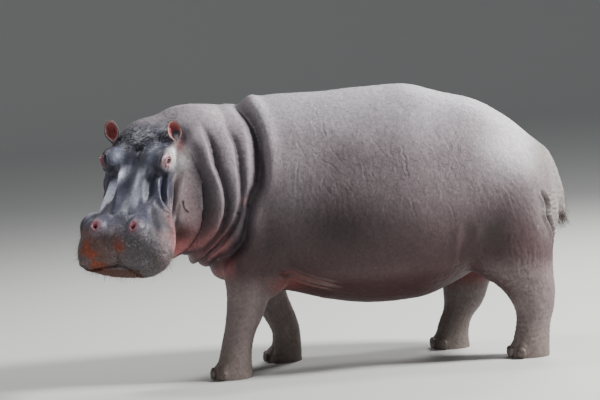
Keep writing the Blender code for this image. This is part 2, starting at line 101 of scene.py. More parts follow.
EYES = {
    "left": (0.004, 0.184, 0.012),
    "right": (0.012, -0.170, 0.014),
}
EARS = {
    "left": ((-0.130, 0.194, -0.020), math.radians(22)),
    "right": ((-0.130, -0.180, -0.020), math.radians(14)),
}
EAR_RADII = (0.024, 0.040, 0.068)
EAR_RISE = 0.064
EAR_LEAN = math.radians(9)
EAR_OPEN = math.radians(14)         # of the near ear, further towards the animal's left
LEG_ROWS = {
    "front_left": (
        (0.95, -0.710, -0.220, 0.190, 0.150),
        (0.75, -0.735, -0.250, 0.172, 0.140),
        (0.58, -0.760, -0.265, 0.148, 0.130),
        (0.45, -0.780, -0.270, 0.118, 0.118),
        (0.32, -0.812, -0.270, 0.101, 0.104),
        (0.21, -0.852, -0.270, 0.086, 0.094),
        (0.14, -0.870, -0.270, 0.086, 0.094),
        (0.06, -0.885, -0.270, 0.096, 0.102),
        (-0.03, -0.890, -0.270, 0.098, 0.104),
    ),
    "front_right": (
        (0.95, -0.720, 0.220, 0.190, 0.150),
        (0.75, -0.735, 0.240, 0.168, 0.140),
        (0.58, -0.735, 0.250, 0.143, 0.130),
        (0.45, -0.712, 0.250, 0.120, 0.118),
        (0.33, -0.668, 0.250, 0.100, 0.102),
        (0.24, -0.626, 0.250, 0.088, 0.094),
        (0.15, -0.600, 0.250, 0.077, 0.090),
        (0.06, -0.608, 0.250, 0.085, 0.098),
        (-0.03, -0.612, 0.250, 0.088, 0.102),
    ),
    "hind_left": (
        (0.95, 0.600, -0.220, 0.240, 0.190),
        (0.75, 0.620, -0.260, 0.225, 0.180),
        (0.58, 0.645, -0.280, 0.205, 0.155),
        (0.45, 0.662, -0.290, 0.182, 0.132),
        (0.34, 0.712, -0.290, 0.135, 0.110),
        (0.25, 0.728, -0.290, 0.106, 0.098),
        (0.16, 0.712, -0.290, 0.092, 0.096),
        (0.06, 0.695, -0.290, 0.098, 0.104),
        (-0.03, 0.690, -0.290, 0.100, 0.106),
    ),
    "hind_right": (
        (0.95, 0.580, 0.220, 0.240, 0.190),
        (0.75, 0.545, 0.250, 0.225, 0.180),
        (0.58, 0.490, 0.270, 0.200, 0.155),
        (0.45, 0.438, 0.280, 0.168, 0.132),
        (0.34, 0.400, 0.280, 0.132, 0.110),
        (0.24, 0.385, 0.280, 0.113, 0.100),
        (0.15, 0.328, 0.280, 0.089, 0.094),
        (0.06, 0.306, 0.280, 0.092, 0.102),
        (-0.03, 0.306, 0.280, 0.096, 0.106),
    ),
}
TOE_ANGLES = (-62, -22, 22, 62)
TOE_REACH = 0.082
TOE_HEIGHT = 0.030
TOE_RADII = (0.042, 0.034, 0.052)
NAIL_AHEAD = 0.034
NAIL_RADII = (0.016, 0.026, 0.027)
NAIL_HEIGHT = 0.033
TAIL = (
    (0.745, 1.115, 0.050, 0.060),
    (0.835, 1.045, 0.045, 0.055),
    (0.893, 0.930, 0.034, 0.046),
    (0.920, 0.830, 0.027, 0.038),
    (0.932, 0.740, 0.020, 0.030),
    (0.937, 0.680, 0.011, 0.017),
)
TAIL_GROW = 0.004
SHOULDER = (-0.70, 0.235, 0.80, 0.225, 0.180, 0.400)
THIGH = (0.59, 0.215, 0.78, 0.270, 0.230, 0.400)

SIDES = (("left", 1), ("right", -1))
BOTH, LEFT, RIGHT = (1, -1), (1,), (-1,)        # the sides on which a form is made


# ---------------------------------------------------------------- curves and rings
def curve_through(keys, rows, at):
    """Smooth rows through the given rows, without overshoot."""
    keys = np.asarray(keys, float)
    rows = np.asarray(rows, float)
    step = np.diff(keys)[:, None]
    slope = np.diff(rows, axis=0) / step
    tangent = np.zeros_like(rows)
    same_way = slope[:-1] * slope[1:] > 0
    total = np.where(same_way, slope[:-1] + slope[1:], 1.0)
    tangent[1:-1] = np.where(same_way, 2 * slope[:-1] * slope[1:] / total, 0.0)
    tangent[0], tangent[-1] = slope[0], slope[-1]
    cell = np.clip(np.searchsorted(keys, at, side="right") - 1, 0, len(keys) - 2)
    length = step[cell]
    part = (at - keys[cell])[:, None] / length
    start = (1 + 2 * part) * (1 - part) ** 2 * rows[cell]
    start += part * (1 - part) ** 2 * length * tangent[cell]
    end = part ** 2 * (3 - 2 * part) * rows[cell + 1]
    end += part ** 2 * (part - 1) * length * tangent[cell + 1]
    return start + end


def stations(rows, count):
    rows = np.asarray(rows, float)
    if rows[0, 0] > rows[-1, 0]:
        rows = rows[::-1]
    return curve_through(rows[:, 0], rows, np.linspace(rows[0, 0], rows[-1, 0], count))


def along(rows, count):
    return curve_through(range(len(rows)), rows, np.linspace(0, len(rows) - 1, count))


def ring_offsets(above, below, widths, squareness=2.2):
    angle = np.arange(RING) * 2 * math.pi / RING
    side = np.sign(np.cos(angle)) * np.abs(np.cos(angle)) ** (2 / squareness)
    level = np.sign(np.sin(angle)) * np.abs(np.sin(angle)) ** (2 / squareness)
    high, middle, low = widths
    half = middle + level * (high - low) / 2 + level ** 2 * ((high + low) / 2 - middle)
    return side * half, np.where(level > 0, level * above, level * below)


def loft(bm, rings):
    rows = [[bm.verts.new(point) for point in ring] for ring in rings]
    faces = [bm.faces.new(rows[0][::-1]), bm.faces.new(rows[-1])]
    for near, far in zip(rows, rows[1:]):
        for k in range(len(near)):
            after = (k + 1) % len(near)
            faces.append(bm.faces.new((near[k], near[after], far[after], far[k])))
    bmesh.ops.recalc_face_normals(bm, faces=faces)


def mass(bm, centre, radii, axes=None):
    matrix = Matrix.Translation(Vector(centre))
    if axes is not None:
        matrix = matrix @ axes.to_4x4()
    matrix = matrix @ Matrix.Diagonal((*radii, 1.0))
    bmesh.ops.create_uvsphere(bm, u_segments=40, v_segments=24, radius=1.0, matrix=matrix)


def head_axes():
    """Columns: forward, the animal's left, up."""
    left = Vector((math.sin(HEAD_TURN), -math.cos(HEAD_TURN), 0.0))
    forward = Vector((-math.cos(HEAD_TURN), -math.sin(HEAD_TURN), 0.0)) * math.cos(HEAD_DROP)
    forward.z = -math.sin(HEAD_DROP)
    up = left.cross(-forward)
    tilt = Matrix.Rotation(HEAD_TILT, 3, forward)
    return Matrix((forward, tilt @ left, tilt @ up)).transposed()


HEAD_AXES = head_axes()
HEAD_MATRIX = np.array(HEAD_AXES)


def on_head(forward, side, up):
    return EYE_MIDPOINT + HEAD_AXES @ Vector((forward, side, up))


def from_head(rows):
    """World places of rows given in the head's frame."""
    return np.array(EYE_MIDPOINT) + np.asarray(rows, float) @ HEAD_MATRIX.T


def to_head(points):
    """Places in the head's frame: forward, to the animal's left, and up."""
    return (points - np.array(EYE_MIDPOINT)) @ HEAD_MATRIX


def mirrored(rows, way):
    """Rows with their second value for the left side (1) or the right side (-1)."""
    return np.array(rows, float) * (1, way, 1)


def toe_places(rows):
    foot = Vector((rows[-1][1], rows[-1][2], TOE_HEIGHT))
    for angle in TOE_ANGLES:
        turn = math.radians(180 + angle)
        ahead = Vector((math.cos(turn), math.sin(turn), 0.0))
        yield foot + ahead * TOE_REACH, ahead


# ---------------------------------------------------------------- objects
def link(name, mesh):
    obj = bpy.data.objects.new(name, mesh)
    bpy.context.scene.collection.objects.link(obj)
    return obj


def new_object(name, bm):
    mesh = bpy.data.meshes.new(name)
    bm.to_mesh(mesh)
    bm.free()
    return link(name, mesh)


def mesh_object(name, points, faces):
    mesh = bpy.data.meshes.new(name)
    mesh.from_pydata([tuple(p) for p in points], [], faces)
    mesh.update()
    return link(name, mesh)


def bake(obj):
    graph = bpy.context.evaluated_depsgraph_get()
    mesh = bpy.data.meshes.new_from_object(obj.evaluated_get(graph))
    obj.modifiers.clear()
    obj.data = mesh


def read(items, name, width=1, kind=np.float32):
    """One property of many mesh items, in a row for each."""
    values = np.empty(len(items) * width, kind)
    items.foreach_get(name, values)
    if kind is np.float32:
        values = values.astype(float)
    return values.reshape(-1, width) if width > 1 else values


def put_back(mesh, points):
    mesh.vertices.foreach_set("co", points.astype(np.float32).ravel())
    mesh.update()


def weigh(obj, name, weights):
    group = obj.vertex_groups.new(name=name)
    levels = np.round(np.clip(weights, 0, 1) * 10).astype(int)
    for level in range(1, 11):
        members = np.nonzero(levels == level)[0].tolist()
        if members:
            group.add(members, level / 10, "REPLACE")


# ---------------------------------------------------------------- the base of the skin
def add_forms(bm):
    rings = []
    for x, y, top, bottom, half in stations(TRUNK, 64):
        middle = bottom + WIDEST_LEVEL * (top - bottom)
        side, height = ring_offsets(top - middle, middle - bottom, (half * 0.98, half, half), 2.15)
        rings.append([(x, y + s, middle + h) for s, h in zip(side, height)])
    loft(bm, rings)

    rows = along(NECK, 24)
    rings = []
    for (x, y, z, depth, half), way in zip(rows, np.gradient(rows[:, :3], axis=0)):
        across = Vector((way[1], -way[0], 0)).normalized()
        side, height = ring_offsets(depth, depth, (half * 0.92, half, half * 0.92))
        rings.append([Vector((x, y, z + h)) + across * s for s, h in zip(side, height)])
    loft(bm, rings)

    rings = []
    for forward, top, bottom, *widths in stations(HEAD, 60):
        middle, half = 0.5 * (top + bottom), 0.5 * (top - bottom)
        side, height = ring_offsets(half, half, widths, 2.6)
        rings.append([on_head(forward, s, middle + h) for s, h in zip(side, height)])
    loft(bm, rings)
    for forward, side, up, *radii in (BROW, NOSTRIL_RIM, LIP_PAD, JOWL, CHIN):
        for way in (-1, 1) if side else (1,):
            mass(bm, on_head(forward, way * side, up), radii, HEAD_AXES)
    mass(bm, on_head(*LIP_SHOULDER[:3]), LIP_SHOULDER[3:], HEAD_AXES)
    for x, y, z, *radii in (SHOULDER, THIGH):
        mass(bm, (x, -y, z), radii)
        mass(bm, (x, y, z), radii)

    for rows in LEG_ROWS.values():
        rings = []
        for z, x, y, length, half in stations(rows, 40):
            side, ahead = ring_offsets(half, half, (length, length, length), 2.1)
            rings.append([(x + s, y + a, z) for s, a in zip(side, ahead)])
        loft(bm, rings)
        for centre, ahead in toe_places(rows):
            mass(bm, centre, TOE_RADII, Matrix.Rotation(math.atan2(ahead.y, ahead.x), 3, "Z"))

    rows = along(TAIL, 20)
    rings = []
    for (x, z, depth, half), way in zip(rows, np.gradient(rows[:, :2], axis=0)):
        across = Vector((way[1], 0, -way[0])).normalized()
        angles = np.arange(20) * math.pi / 10
        rings.append([
            Vector((x, 0, z)) + across * ((depth + TAIL_GROW) * math.cos(a))
            + Vector((0, (half + TAIL_GROW) * math.sin(a), 0)) for a in angles
        ])
    loft(bm, rings)


def base_skin():
    bm = bmesh.new()
    add_forms(bm)
    skin = new_object("hide", bm)
    merge = skin.modifiers.new("merge", "REMESH")
    merge.mode = "VOXEL"
    merge.voxel_size = BASE_VOXEL
    bake(skin)
    points = read(skin.data.vertices, "co", 3)
    head = to_head(points)
    rear = np.clip((0.02 - head[:, 0]) / 0.25, 0, 1) * np.clip((points[:, 2] - 0.12) / 0.1, 0, 1)
    free_tail = np.clip((points[:, 0] - 0.885 + 0.25 * (points[:, 2] - 0.95)) / 0.02, 0, 1)
    weigh(skin, "joins", rear * (1 - free_tail))
    for name, group, rounds in (("soften", "", 9), ("blend", "joins", 44)):
        smooth = skin.modifiers.new(name, "SMOOTH")
        smooth.factor = 0.5
        smooth.iterations = rounds
        smooth.vertex_group = group
    finer = skin.modifiers.new("finer", "SUBSURF")
    finer.levels = finer.render_levels = 1
    bake(skin)
    skin.vertex_groups.clear()
    return skin


def refine(mesh, chosen):
    """Split in four the faces that are chosen by their middles, in the world's and the head's frame."""
    middles = read(mesh.polygons, "center", 3)
    bm = bmesh.new()
    bm.from_mesh(mesh)
    bm.faces.ensure_lookup_table()
    edges = set()
    for index in np.nonzero(chosen(middles, to_head(middles)))[0]:
        edges.update(bm.faces[index].edges)
    bmesh.ops.subdivide_edges(bm, edges=list(edges), cuts=1, use_grid_fill=True)
    bm.to_mesh(mesh)
    bm.free()
    mesh.update()


def relax(values, pairs, share, rounds):
    """Move each value towards its neighbours' mean, by a share for each vertex."""
    first, second = pairs.T
    size = len(values)
    count = np.bincount(first, minlength=size) + np.bincount(second, minlength=size)
    for _ in range(rounds):
        mean = np.empty_like(values)
        for k in range(values.shape[1]):
            total = np.bincount(first, values[second, k], size)
            total += np.bincount(second, values[first, k], size)
            mean[:, k] = total / np.maximum(count, 1)
        values = values + (mean - values) * share[:, None]
    return values


# ---------------------------------------------------------------- random fields
LATTICE = np.random.default_rng(11).random(1 << 16)


def noise(points, scale, seed=0):
    """Smooth random values from -1 to 1; scale is in waves per metre."""
    place = points * np.asarray(scale, float) + seed * 17.31
    cell = np.floor(place).astype(np.int64)
    part = place - cell
    part = part * part * (3 - 2 * part)
    total = np.zeros(len(points))
    for corner in range(8):
        step = np.array([corner & 1, corner >> 1 & 1, corner >> 2])
        at = cell + step
        key = (at[:, 0] * 73856093 ^ at[:, 1] * 19349663 ^ at[:, 2] * 83492791) & 0xFFFF
        weight = np.where(step, part, 1 - part).prod(axis=1)
        total += LATTICE[key] * weight
    return total * 2 - 1


def ridges(points, scale, seed=0):
    """Thin crests from 0 to 1, where smooth noise changes sign."""
    return np.clip(1 - 3.0 * np.abs(noise(points, scale, seed)), 0, 1)


def fade(values, start, end):
    """0 at start, 1 at end, smooth between."""
    part = np.clip((values - start) / (end - start), 0, 1)
    return part * part * (3 - 2 * part)


def blob(*terms):
    """A soft spot; each term is a coordinate, the spot's middle and its reach."""
    return np.exp(-sum(((value - middle) / reach) ** 2 for value, middle, reach in terms))


# ---------------------------------------------------------------- sculpting
class Clay:
    """The skin's points, which strokes push along their normals."""

    def __init__(self, mesh):
        self.mesh = mesh
        self.renew()
        self.masks = {}

    def renew(self):
        self.points = read(self.mesh.vertices, "co", 3)
        self.normals = read(self.mesh.vertices, "normal", 3)
        self.head = to_head(self.points)
        self.push = np.zeros(len(self.points))
        faces = bmesh.new()
        faces.from_mesh(self.mesh)
        self.tree = BVHTree.FromBMesh(faces)
        faces.free()

    def apply(self):
        put_back(self.mesh, self.points + self.normals * self.push[:, None])
        self.renew()

    def mask(self, name):
        return self.masks.setdefault(name, np.zeros(len(self.points)))

    def colour(self, name, where, amount):
        mask = self.mask(name)
        mask[where] = np.maximum(mask[where], amount)

    def on_skin(self, route, count=70):
        """A dense route laid on the skin."""
        line = along(route, count)
        laid = np.array([self.tree.find_nearest(Vector(p))[0] for p in line])
        for _ in range(2):
            laid[1:-1] = (laid[:-2] + 2 * laid[1:-1] + laid[2:]) / 4
        return laid

    def on_flank(self, rows, way):
        """Where the side of the body has the given x and z."""
        laid = []
        for x, z in rows:
            hit = self.tree.ray_cast(Vector((x, way * 1.0, z)), Vector((0, -way, 0)))[0]
            laid.append(hit or self.tree.find_nearest(Vector((x, 0.0, z)))[0])
        return np.array(laid)

    def near(self, route, reach):
        """Points near a route: index, distance, share along it, and signed distance to its right."""
        low, high = route.min(0) - reach, route.max(0) + reach
        where = np.nonzero(((self.points > low) & (self.points < high)).all(1))[0]
        gap = self.points[where][:, None, :] - route[None]
        square = (gap ** 2).sum(2)
        nearest = square.argmin(1)
        distance = np.sqrt(square[np.arange(len(where)), nearest])
        keep = distance < reach
        where, nearest, distance = where[keep], nearest[keep], distance[keep]
        gap = gap[keep][np.arange(len(where)), nearest]
        way = np.gradient(route, axis=0)
        way /= np.linalg.norm(way, axis=1)[:, None] + 1e-9
        lengthways = (gap * way[nearest]).sum(1)
        across = np.cross(way[nearest], self.normals[where])
        side = np.sign((across * gap).sum(1)) * np.sqrt(np.maximum(distance ** 2 - lengthways ** 2, 0))
        beyond = np.exp(-(lengthways / 0.006) ** 2 * ((nearest == 0) | (nearest == len(route) - 1)))
        return where, side, nearest / (len(route) - 1), beyond

    def spare_soles(self):
        """Leave the flat soles as they are."""
        self.push *= fade(self.points[:, 2], 0.004, 0.03)

    def crease(self, route, depth, width, lip=0.35, ends=0.25, stain=None):
        """Press a groove with a soft lip on both sides; a negative depth raises a ridge."""
        where, side, share, beyond = self.near(self.on_skin(route), width * 3.2)
        taper = np.clip(np.minimum(share, 1 - share) / ends, 0, 1) ** 0.7 * beyond
        groove = np.exp(-(side / width) ** 2)
        edge = np.exp(-((np.abs(side) - 1.9 * width) / (0.8 * width)) ** 2)
        self.push[where] += depth * taper * (lip * edge - groove)
        if stain:
            self.colour(stain, where, groove * taper)

    def swell(self, centre, radii, amount, head=True, stain=None):
        """Raise, or dent, the skin round a point."""
        places = self.head if head else self.points
        gap = (places - np.array(centre)) / np.array(radii)
        square = (gap ** 2).sum(1)
        where = np.nonzero(square < 6)[0]
        level = np.exp(-square[where])
        self.push[where] += amount * level
        if stain:
            self.colour(stain, where, level)


# Rear edges of the neck rolls on the left side, from the top down: x and z.
ROLL_EDGES = (
    ((-1.085, 1.330), (-1.053, 1.243), (-1.013, 1.176), (-0.992, 1.110), (-0.966, 1.032),
     (-0.964, 0.947), (-0.978, 0.884), (-1.010, 0.800), (-1.090, 0.690)),
    ((-0.975, 1.400), (-0.946, 1.335), (-0.913, 1.245), (-0.894, 1.148), (-0.868, 1.052),
     (-0.858, 0.963), (-0.866, 0.897), (-0.892, 0.830), (-0.953, 0.747), (-1.032, 0.679), (-1.095, 0.640)),
    ((-0.850, 1.400), (-0.813, 1.312), (-0.785, 1.242), (-0.775, 1.153), (-0.773, 1.058),
     (-0.779, 0.971), (-0.807, 0.878), (-0.854, 0.794), (-0.928, 0.711), (-0.979, 0.668), (-1.045, 0.610)),
    ((-0.836, 1.480), (-0.770, 1.430), (-0.727, 1.385), (-0.692, 1.322), (-0.677, 1.253),
     (-0.674, 1.153), (-0.690, 1.053), (-0.732, 0.965), (-0.770, 0.850), (-0.803, 0.740),
     (-0.864, 0.686), (-0.956, 0.618), (-1.000, 0.575)),
)
ROLL_HEIGHT = (0.0, 0.030, 0.028, 0.030)        # of the roll ahead of each edge
EDGE_DEPTH = (0.044, 0.024, 0.021, 0.042)
EDGE_WIDTH = (0.036, 0.013, 0.012, 0.036)
EDGE_SHADE = (0.066, 0.050, 0.030, 0.046)       # reach of the painted shade behind each edge
ROLL_CREST = 0.70                   # place of a roll's crest between two edges
CREST_BEHIND = 0.072                # from the withers valley to the roll behind it
EDGE_POINTS = 90                    # on the line of each edge
BLOCK = 40000                       # points measured at a time, to spare memory


def signed_gap(points, edge):
    """Distance behind a line of x and z, and the share along it."""
    line = along(edge, EDGE_POINTS)
    way = np.gradient(line, axis=0)
    way /= np.linalg.norm(way, axis=1)[:, None]
    gap = np.empty(len(points))
    share = np.empty(len(points))
    for start in range(0, len(points), BLOCK):
        block = slice(start, start + BLOCK)
        apart = points[block][:, None, :] - line[None]
        nearest = (apart ** 2).sum(2).argmin(1)
        off = apart[np.arange(len(apart)), nearest]
        behind = off[:, 0] * -way[nearest, 1] + off[:, 1] * way[nearest, 0]
        beyond = (nearest == 0) | (nearest == EDGE_POINTS - 1)
        gap[block] = np.where(beyond, behind, np.sign(behind) * np.linalg.norm(off, axis=1))
        share[block] = nearest / (EDGE_POINTS - 1)
    return gap, share


def sculpt_neck(clay, pairs):
    """Rolls of the neck: pillows between creases, steeper at the rear."""
    points, normals = clay.points, clay.normals
    where = np.nonzero((points[:, 0] > -1.25) & (points[:, 0] < -0.45) & (points[:, 2] > 0.45))[0]
    place = points[where]
    warp = 0.005 * noise(place, 7.0, 3)
    near_side = 0.30 + 0.70 * fade(-normals[where, 1], -0.35, 0.25)
    ahead = fade(place[:, 0], -1.22, -1.12)
    push = np.zeros(len(where))
    crease_shade = np.zeros(len(where))
    before = None
    for k, edge in enumerate(ROLL_EDGES):
        gap, share = signed_gap(place[:, [0, 2]], edge)
        gap = gap + warp
        ends = fade(share, 0.02, 0.20) if k < 3 else 0.5 + 0.5 * fade(share, 0.0, 0.15)
        ends = ends * (1 - 0.35 * fade(share, 0.82, 1.0))
        if before is not None:
            span = np.maximum(before - gap, 0.03)
            part = np.clip(before / span, 0, 1)
            front = np.sin(math.pi / 2 * np.clip(part / ROLL_CREST, 0, 1)) ** 1.2
            drop = np.clip((part - ROLL_CREST) / (1 - ROLL_CREST), 0, 1)
            pillow = front * np.sqrt(np.clip(1 - drop ** 2.2, 0, 1)) * ((before > 0) & (gap < 0))
            push += ROLL_HEIGHT[k] * pillow * ends * np.clip(span / 0.06, 0.45, 1)
        valley = np.exp(-(gap / EDGE_WIDTH[k]) ** 2)
        push -= EDGE_DEPTH[k] * valley * ends
        reach = np.where(gap > 0, EDGE_SHADE[k], 0.6 * EDGE_WIDTH[k] + 0.004)
        crease_shade = np.maximum(crease_shade, np.exp(-(gap / reach) ** 2) * ends)
        before = gap
    crest = np.exp(-((gap - CREST_BEHIND) / 0.038) ** 2) * (1 - fade(share, 0.30, 0.62))
    push += 0.026 * crest
    spread = np.zeros((len(points), 1))
    spread[where, 0] = push * near_side * ahead
    clay.push += relax(spread, pairs, np.full(len(points), 0.6), 3)[:, 0]
    # Mark the painted shade in and behind each edge of the neck rolls.
    clay.colour("crease", where, crease_shade * near_side * ahead)
    clay.apply()
    steep = relax(clay.mask("crease")[:, None], pairs, np.full(len(points), 0.5), 2)[:, 0]
    put_back(clay.mesh, relax(clay.points, pairs, 0.5 * fade(steep, 0.15, 0.6), 5))
    clay.renew()


SNOUT_LINES = (         # on both sides: route, depth (negative for a ridge), width and lip
    (((-0.010, 0.082, 0.020), (0.060, 0.078, -0.010), (0.107, 0.068, -0.031), (0.185, 0.060, -0.046),
      (0.257, 0.050, -0.058), (0.320, 0.055, -0.065)), -0.0115, 0.016, 0.10),
    (((0.050, 0.135, -0.025), (0.090, 0.135, -0.050), (0.167, 0.150, -0.098), (0.210, 0.172, -0.140),
      (0.250, 0.200, -0.180)), -0.0115, 0.016, 0.10),
    (((0.000, 0.214, -0.058), (0.058, 0.192, -0.090), (0.128, 0.176, -0.120), (0.190, 0.180, -0.150),
      (0.235, 0.196, -0.190)), -0.0115, 0.016, 0.10),
    (((0.020, 0.175, -0.050), (0.070, 0.160, -0.068), (0.140, 0.163, -0.105), (0.205, 0.177, -0.150)),
     0.019, 0.010, 0.25),
    (((0.050, 0.105, -0.028), (0.090, 0.103, -0.040), (0.164, 0.108, -0.064), (0.240, 0.115, -0.070)),
     0.016, 0.017, 0.25),
    (((0.000, 0.235, -0.085), (0.043, 0.220, -0.110), (0.099, 0.208, -0.160), (0.167, 0.201, -0.200),
      (0.240, 0.206, -0.225)), 0.021, 0.012, 0.25),
    (((0.230, 0.135, -0.085), (0.290, 0.160, -0.090), (0.350, 0.190, -0.100), (0.400, 0.215, -0.120)),
     0.007, 0.018, 0.25),
)
MIDDLE_LINES = (
    (((-0.080, 0.0, 0.040), (0.0, 0.0, 0.015), (0.150, -0.005, -0.036), (0.300, 0.0, -0.060)),
     0.009, 0.022, 0.2),
    (((0.400, 0.0, -0.070), (0.480, 0.0, -0.100), (0.525, 0.0, -0.160), (0.536, 0.0, -0.212)),
     0.009, 0.016, 0.3),
)
HEAD_SWELLS = (         # sides, place, radii and height
    (LEFT, (0.390, 0.0, -0.070), (0.060, 0.042, 0.050), -0.009),
    (BOTH, (0.060, 0.120, -0.030), (0.040, 0.026, 0.040), -0.012),
    (BOTH, (-0.105, 0.130, 0.040), (0.050, 0.060, 0.060), -0.006),
    (BOTH, (0.455, 0.150, -0.090), (0.060, 0.085, 0.050), 0.010),
    (BOTH, (0.300, 0.245, -0.150), (0.070, 0.050, 0.060), 0.010),
    (LEFT, (-0.020, 0.262, -0.110), (0.070, 0.050, 0.070), 0.012),
    (RIGHT, (-0.020, 0.262, -0.110), (0.070, 0.050, 0.070), -0.022),
    (BOTH, (0.090, 0.250, -0.260), (0.060, 0.050, 0.060), -0.012),
    (LEFT, (-0.150, 0.224, 0.020), (0.048, 0.044, 0.052), -0.026),
    (RIGHT, (0.470, 0.235, -0.255), (0.050, 0.040, 0.040), 0.014),
)
MOUTH_LINE = (
    (0.225, 0.200, -0.215), (0.290, 0.222, -0.262), (0.370, 0.225, -0.318), (0.440, 0.180, -0.338),
    (0.495, 0.120, -0.322), (0.530, 0.085, -0.285), (0.536, 0.055, -0.245), (0.536, 0.004, -0.214),
    (0.536, -0.050, -0.226), (0.536, -0.090, -0.234), (0.532, -0.178, -0.258), (0.500, -0.245, -0.262),
    (0.440, -0.262, -0.282), (0.370, -0.245, -0.290), (0.290, -0.222, -0.262), (0.225, -0.200, -0.215),
)


def sculpt_head(clay):
    for route, depth, width, lip in SNOUT_LINES:
        for way in BOTH:
            clay.crease(from_head(mirrored(route, way)), depth, width, lip)
    for route, depth, width, lip in MIDDLE_LINES:
        clay.crease(from_head(route), depth, width, lip)
    for ways, place, radii, height in HEAD_SWELLS:
        for way in ways:
            clay.swell(mirrored(place, way), radii, height)
    # The forehead pit, whose mask takes painted shade.
    clay.swell((-0.058, 0.004, 0.032), (0.020, 0.024, 0.050), -0.015, stain="pit")
    clay.apply()


CHEEK_PIT = ((0.096, 0.230, -0.200), (0.112, 0.230, -0.216), (0.120, 0.232, -0.234), (0.130, 0.245, -0.247),
             (0.146, 0.266, -0.250))


def sculpt_mouth(clay):
    """The line of the mouth, and the fleshy folds at its corners."""
    clay.crease(from_head(MOUTH_LINE), 0.016, 0.0075, lip=0.45, ends=0.06, stain="mouth")
    for way in BOTH:
        for k in range(7):
            forward, outer, level = 0.205 + 0.020 * k, 0.188 + 0.010 * k, -0.150 - 0.010 * k
            route = ((forward - 0.008, outer, level - 0.050), (forward, outer, level),
                     (forward + 0.012, outer + 0.006, level + 0.024))
            clay.crease(from_head(mirrored(route, way)), 0.0045, 0.0055, ends=0.4)
        clay.swell((0.265, way * 0.205, -0.195), (0.070, 0.045, 0.042), 0.0, stain="lip")
        clay.swell((0.330, way * 0.240, -0.235), (0.050, 0.045, 0.035), 0.0, stain="lip")
    clay.crease(from_head(CHEEK_PIT), 0.012, 0.0055, lip=0.5, stain="crease")
    clay.swell((0.106, 0.250, -0.236), (0.022, 0.022, 0.022), 0.006)
    forward, side, up = clay.head.T
    where = (forward > 0.44) & (np.abs(side + 0.07) < 0.17) & (up < -0.25)
    clay.colour("lower_lip", np.nonzero(where)[0], 1.0)


NOSTRIL_SLIT = ((0.408, 0.118, -0.04), (0.420, 0.112, -0.04), (0.430, 0.102, -0.045))


def sculpt_nostrils(clay):
    for way in BOTH:
        clay.swell((0.414, way * 0.113, -0.040), (0.040, 0.034, 0.040), 0.013, stain="rim")
        clay.swell((0.416, way * 0.112, -0.040), (0.021, 0.017, 0.040), -0.016, stain="nostril")
        clay.crease(from_head(mirrored(NOSTRIL_SLIT, way)), 0.020, 0.0085, lip=0.10, ends=0.30, stain="hole")
        for reach in (0.042, 0.054, 0.066):
            arc = [(0.412 - reach * math.cos(a), 0.113 + reach * 0.9 * math.sin(a), -0.045)
                   for a in np.linspace(-1.0, 1.7, 6)]
            clay.crease(from_head(mirrored(arc, way)), 0.0028, 0.0060)


EYE_GAZE = Vector((0.45, 0.85, 0.25)).normalized()      # of the left eye, in the head's frame
SLIT_WAY = Vector((0.70, -0.19, -0.58))                 # from its rear corner to its front corner
LID_RADIUS = 0.0280
SLIT_LIFT = math.radians(24)        # half opening of the lids at the middle of the eye
SLIT_REACH = math.radians(50)       # from the middle of the eye to a corner


def eye_frame(way):
    """Columns: gaze, along the slit, up across it, in the head's frame; the right eye's are mirrored."""
    slit = (SLIT_WAY - EYE_GAZE * EYE_GAZE.dot(SLIT_WAY)).normalized()
    columns = Matrix((EYE_GAZE, slit, slit.cross(EYE_GAZE))).transposed()
    return Matrix.Diagonal((1, way, 1)) @ columns


EYE_SWELLS = (          # offset from the eye, radii and height: lid mound, bag, hollow in front
    ((-0.012, -0.010, 0.008), (0.062, 0.046, 0.050), 0.013),
    ((0.034, -0.004, -0.038), (0.026, 0.030, 0.022), 0.006),
    ((0.060, -0.034, -0.030), (0.034, 0.028, 0.034), -0.009),
)
EYE_FOLDS = ((0.042, 200, 335), (0.052, 195, 325), (0.063, 200, 320), (0.046, 40, 140), (0.056, 50, 135))
OPEN_RADIUS = 0.0175                # of the skin between the lids, which lies inside the eyeball


def sculpt_lids(clay, centre, way):
    """Draw the skin onto a shell round the eyeball, except inside the slit."""
    axes = np.array(eye_frame(way))
    gap = (clay.head - centre) @ axes
    distance = np.linalg.norm(gap, axis=1)
    where = np.nonzero(distance < 0.085)[0]
    gap, distance = gap[where], distance[where]
    gaze, slit, across = (gap / distance[:, None]).T
    off = np.arctan2(across, gaze)
    reach = np.arctan2(slit, np.hypot(gaze, across))
    opening = SLIT_LIFT * np.sqrt(np.clip(1 - (reach / SLIT_REACH) ** 2, 0, 1))
    outside = np.abs(off + math.radians(2)) - opening
    outside = np.where(np.abs(reach) > SLIT_REACH, np.maximum(outside, 0.12), outside)
    margin = blob((outside, 0.15, 0.13))
    lid = LID_RADIUS + 0.0048 * margin + 0.0008 * noise(clay.head[where], 120, 12)
    lid += (0.0045 - 0.0035 * blob((outside, 0.60, 0.075))) * (off > 0)
    lid += (0.0030 * blob((outside, 0.66, 0.12)) - 0.0030 * blob((outside, 0.46, 0.065))) * (off < 0)
    wanted = OPEN_RADIUS + (lid - OPEN_RADIUS) * fade(outside, -0.03, 0.05)
    over = fade(gaze, -0.05, 0.45)
    hugged = (outside < 0.05) | ((outside < 0.7) & (distance < 0.06))
    shell = np.where(hugged, wanted, np.maximum(distance, wanted))
    shell = np.where(gaze > 0.05, shell, distance)
    mixed = distance + (shell - distance) * over
    clay.points[where] = from_head(centre + (gap / distance[:, None] * mixed[:, None]) @ axes.T)
    clay.colour("lid", where, np.exp(-(distance / 0.052) ** 4) * over)
    clay.colour("lid_edge", where, margin * over * (distance < 0.055))


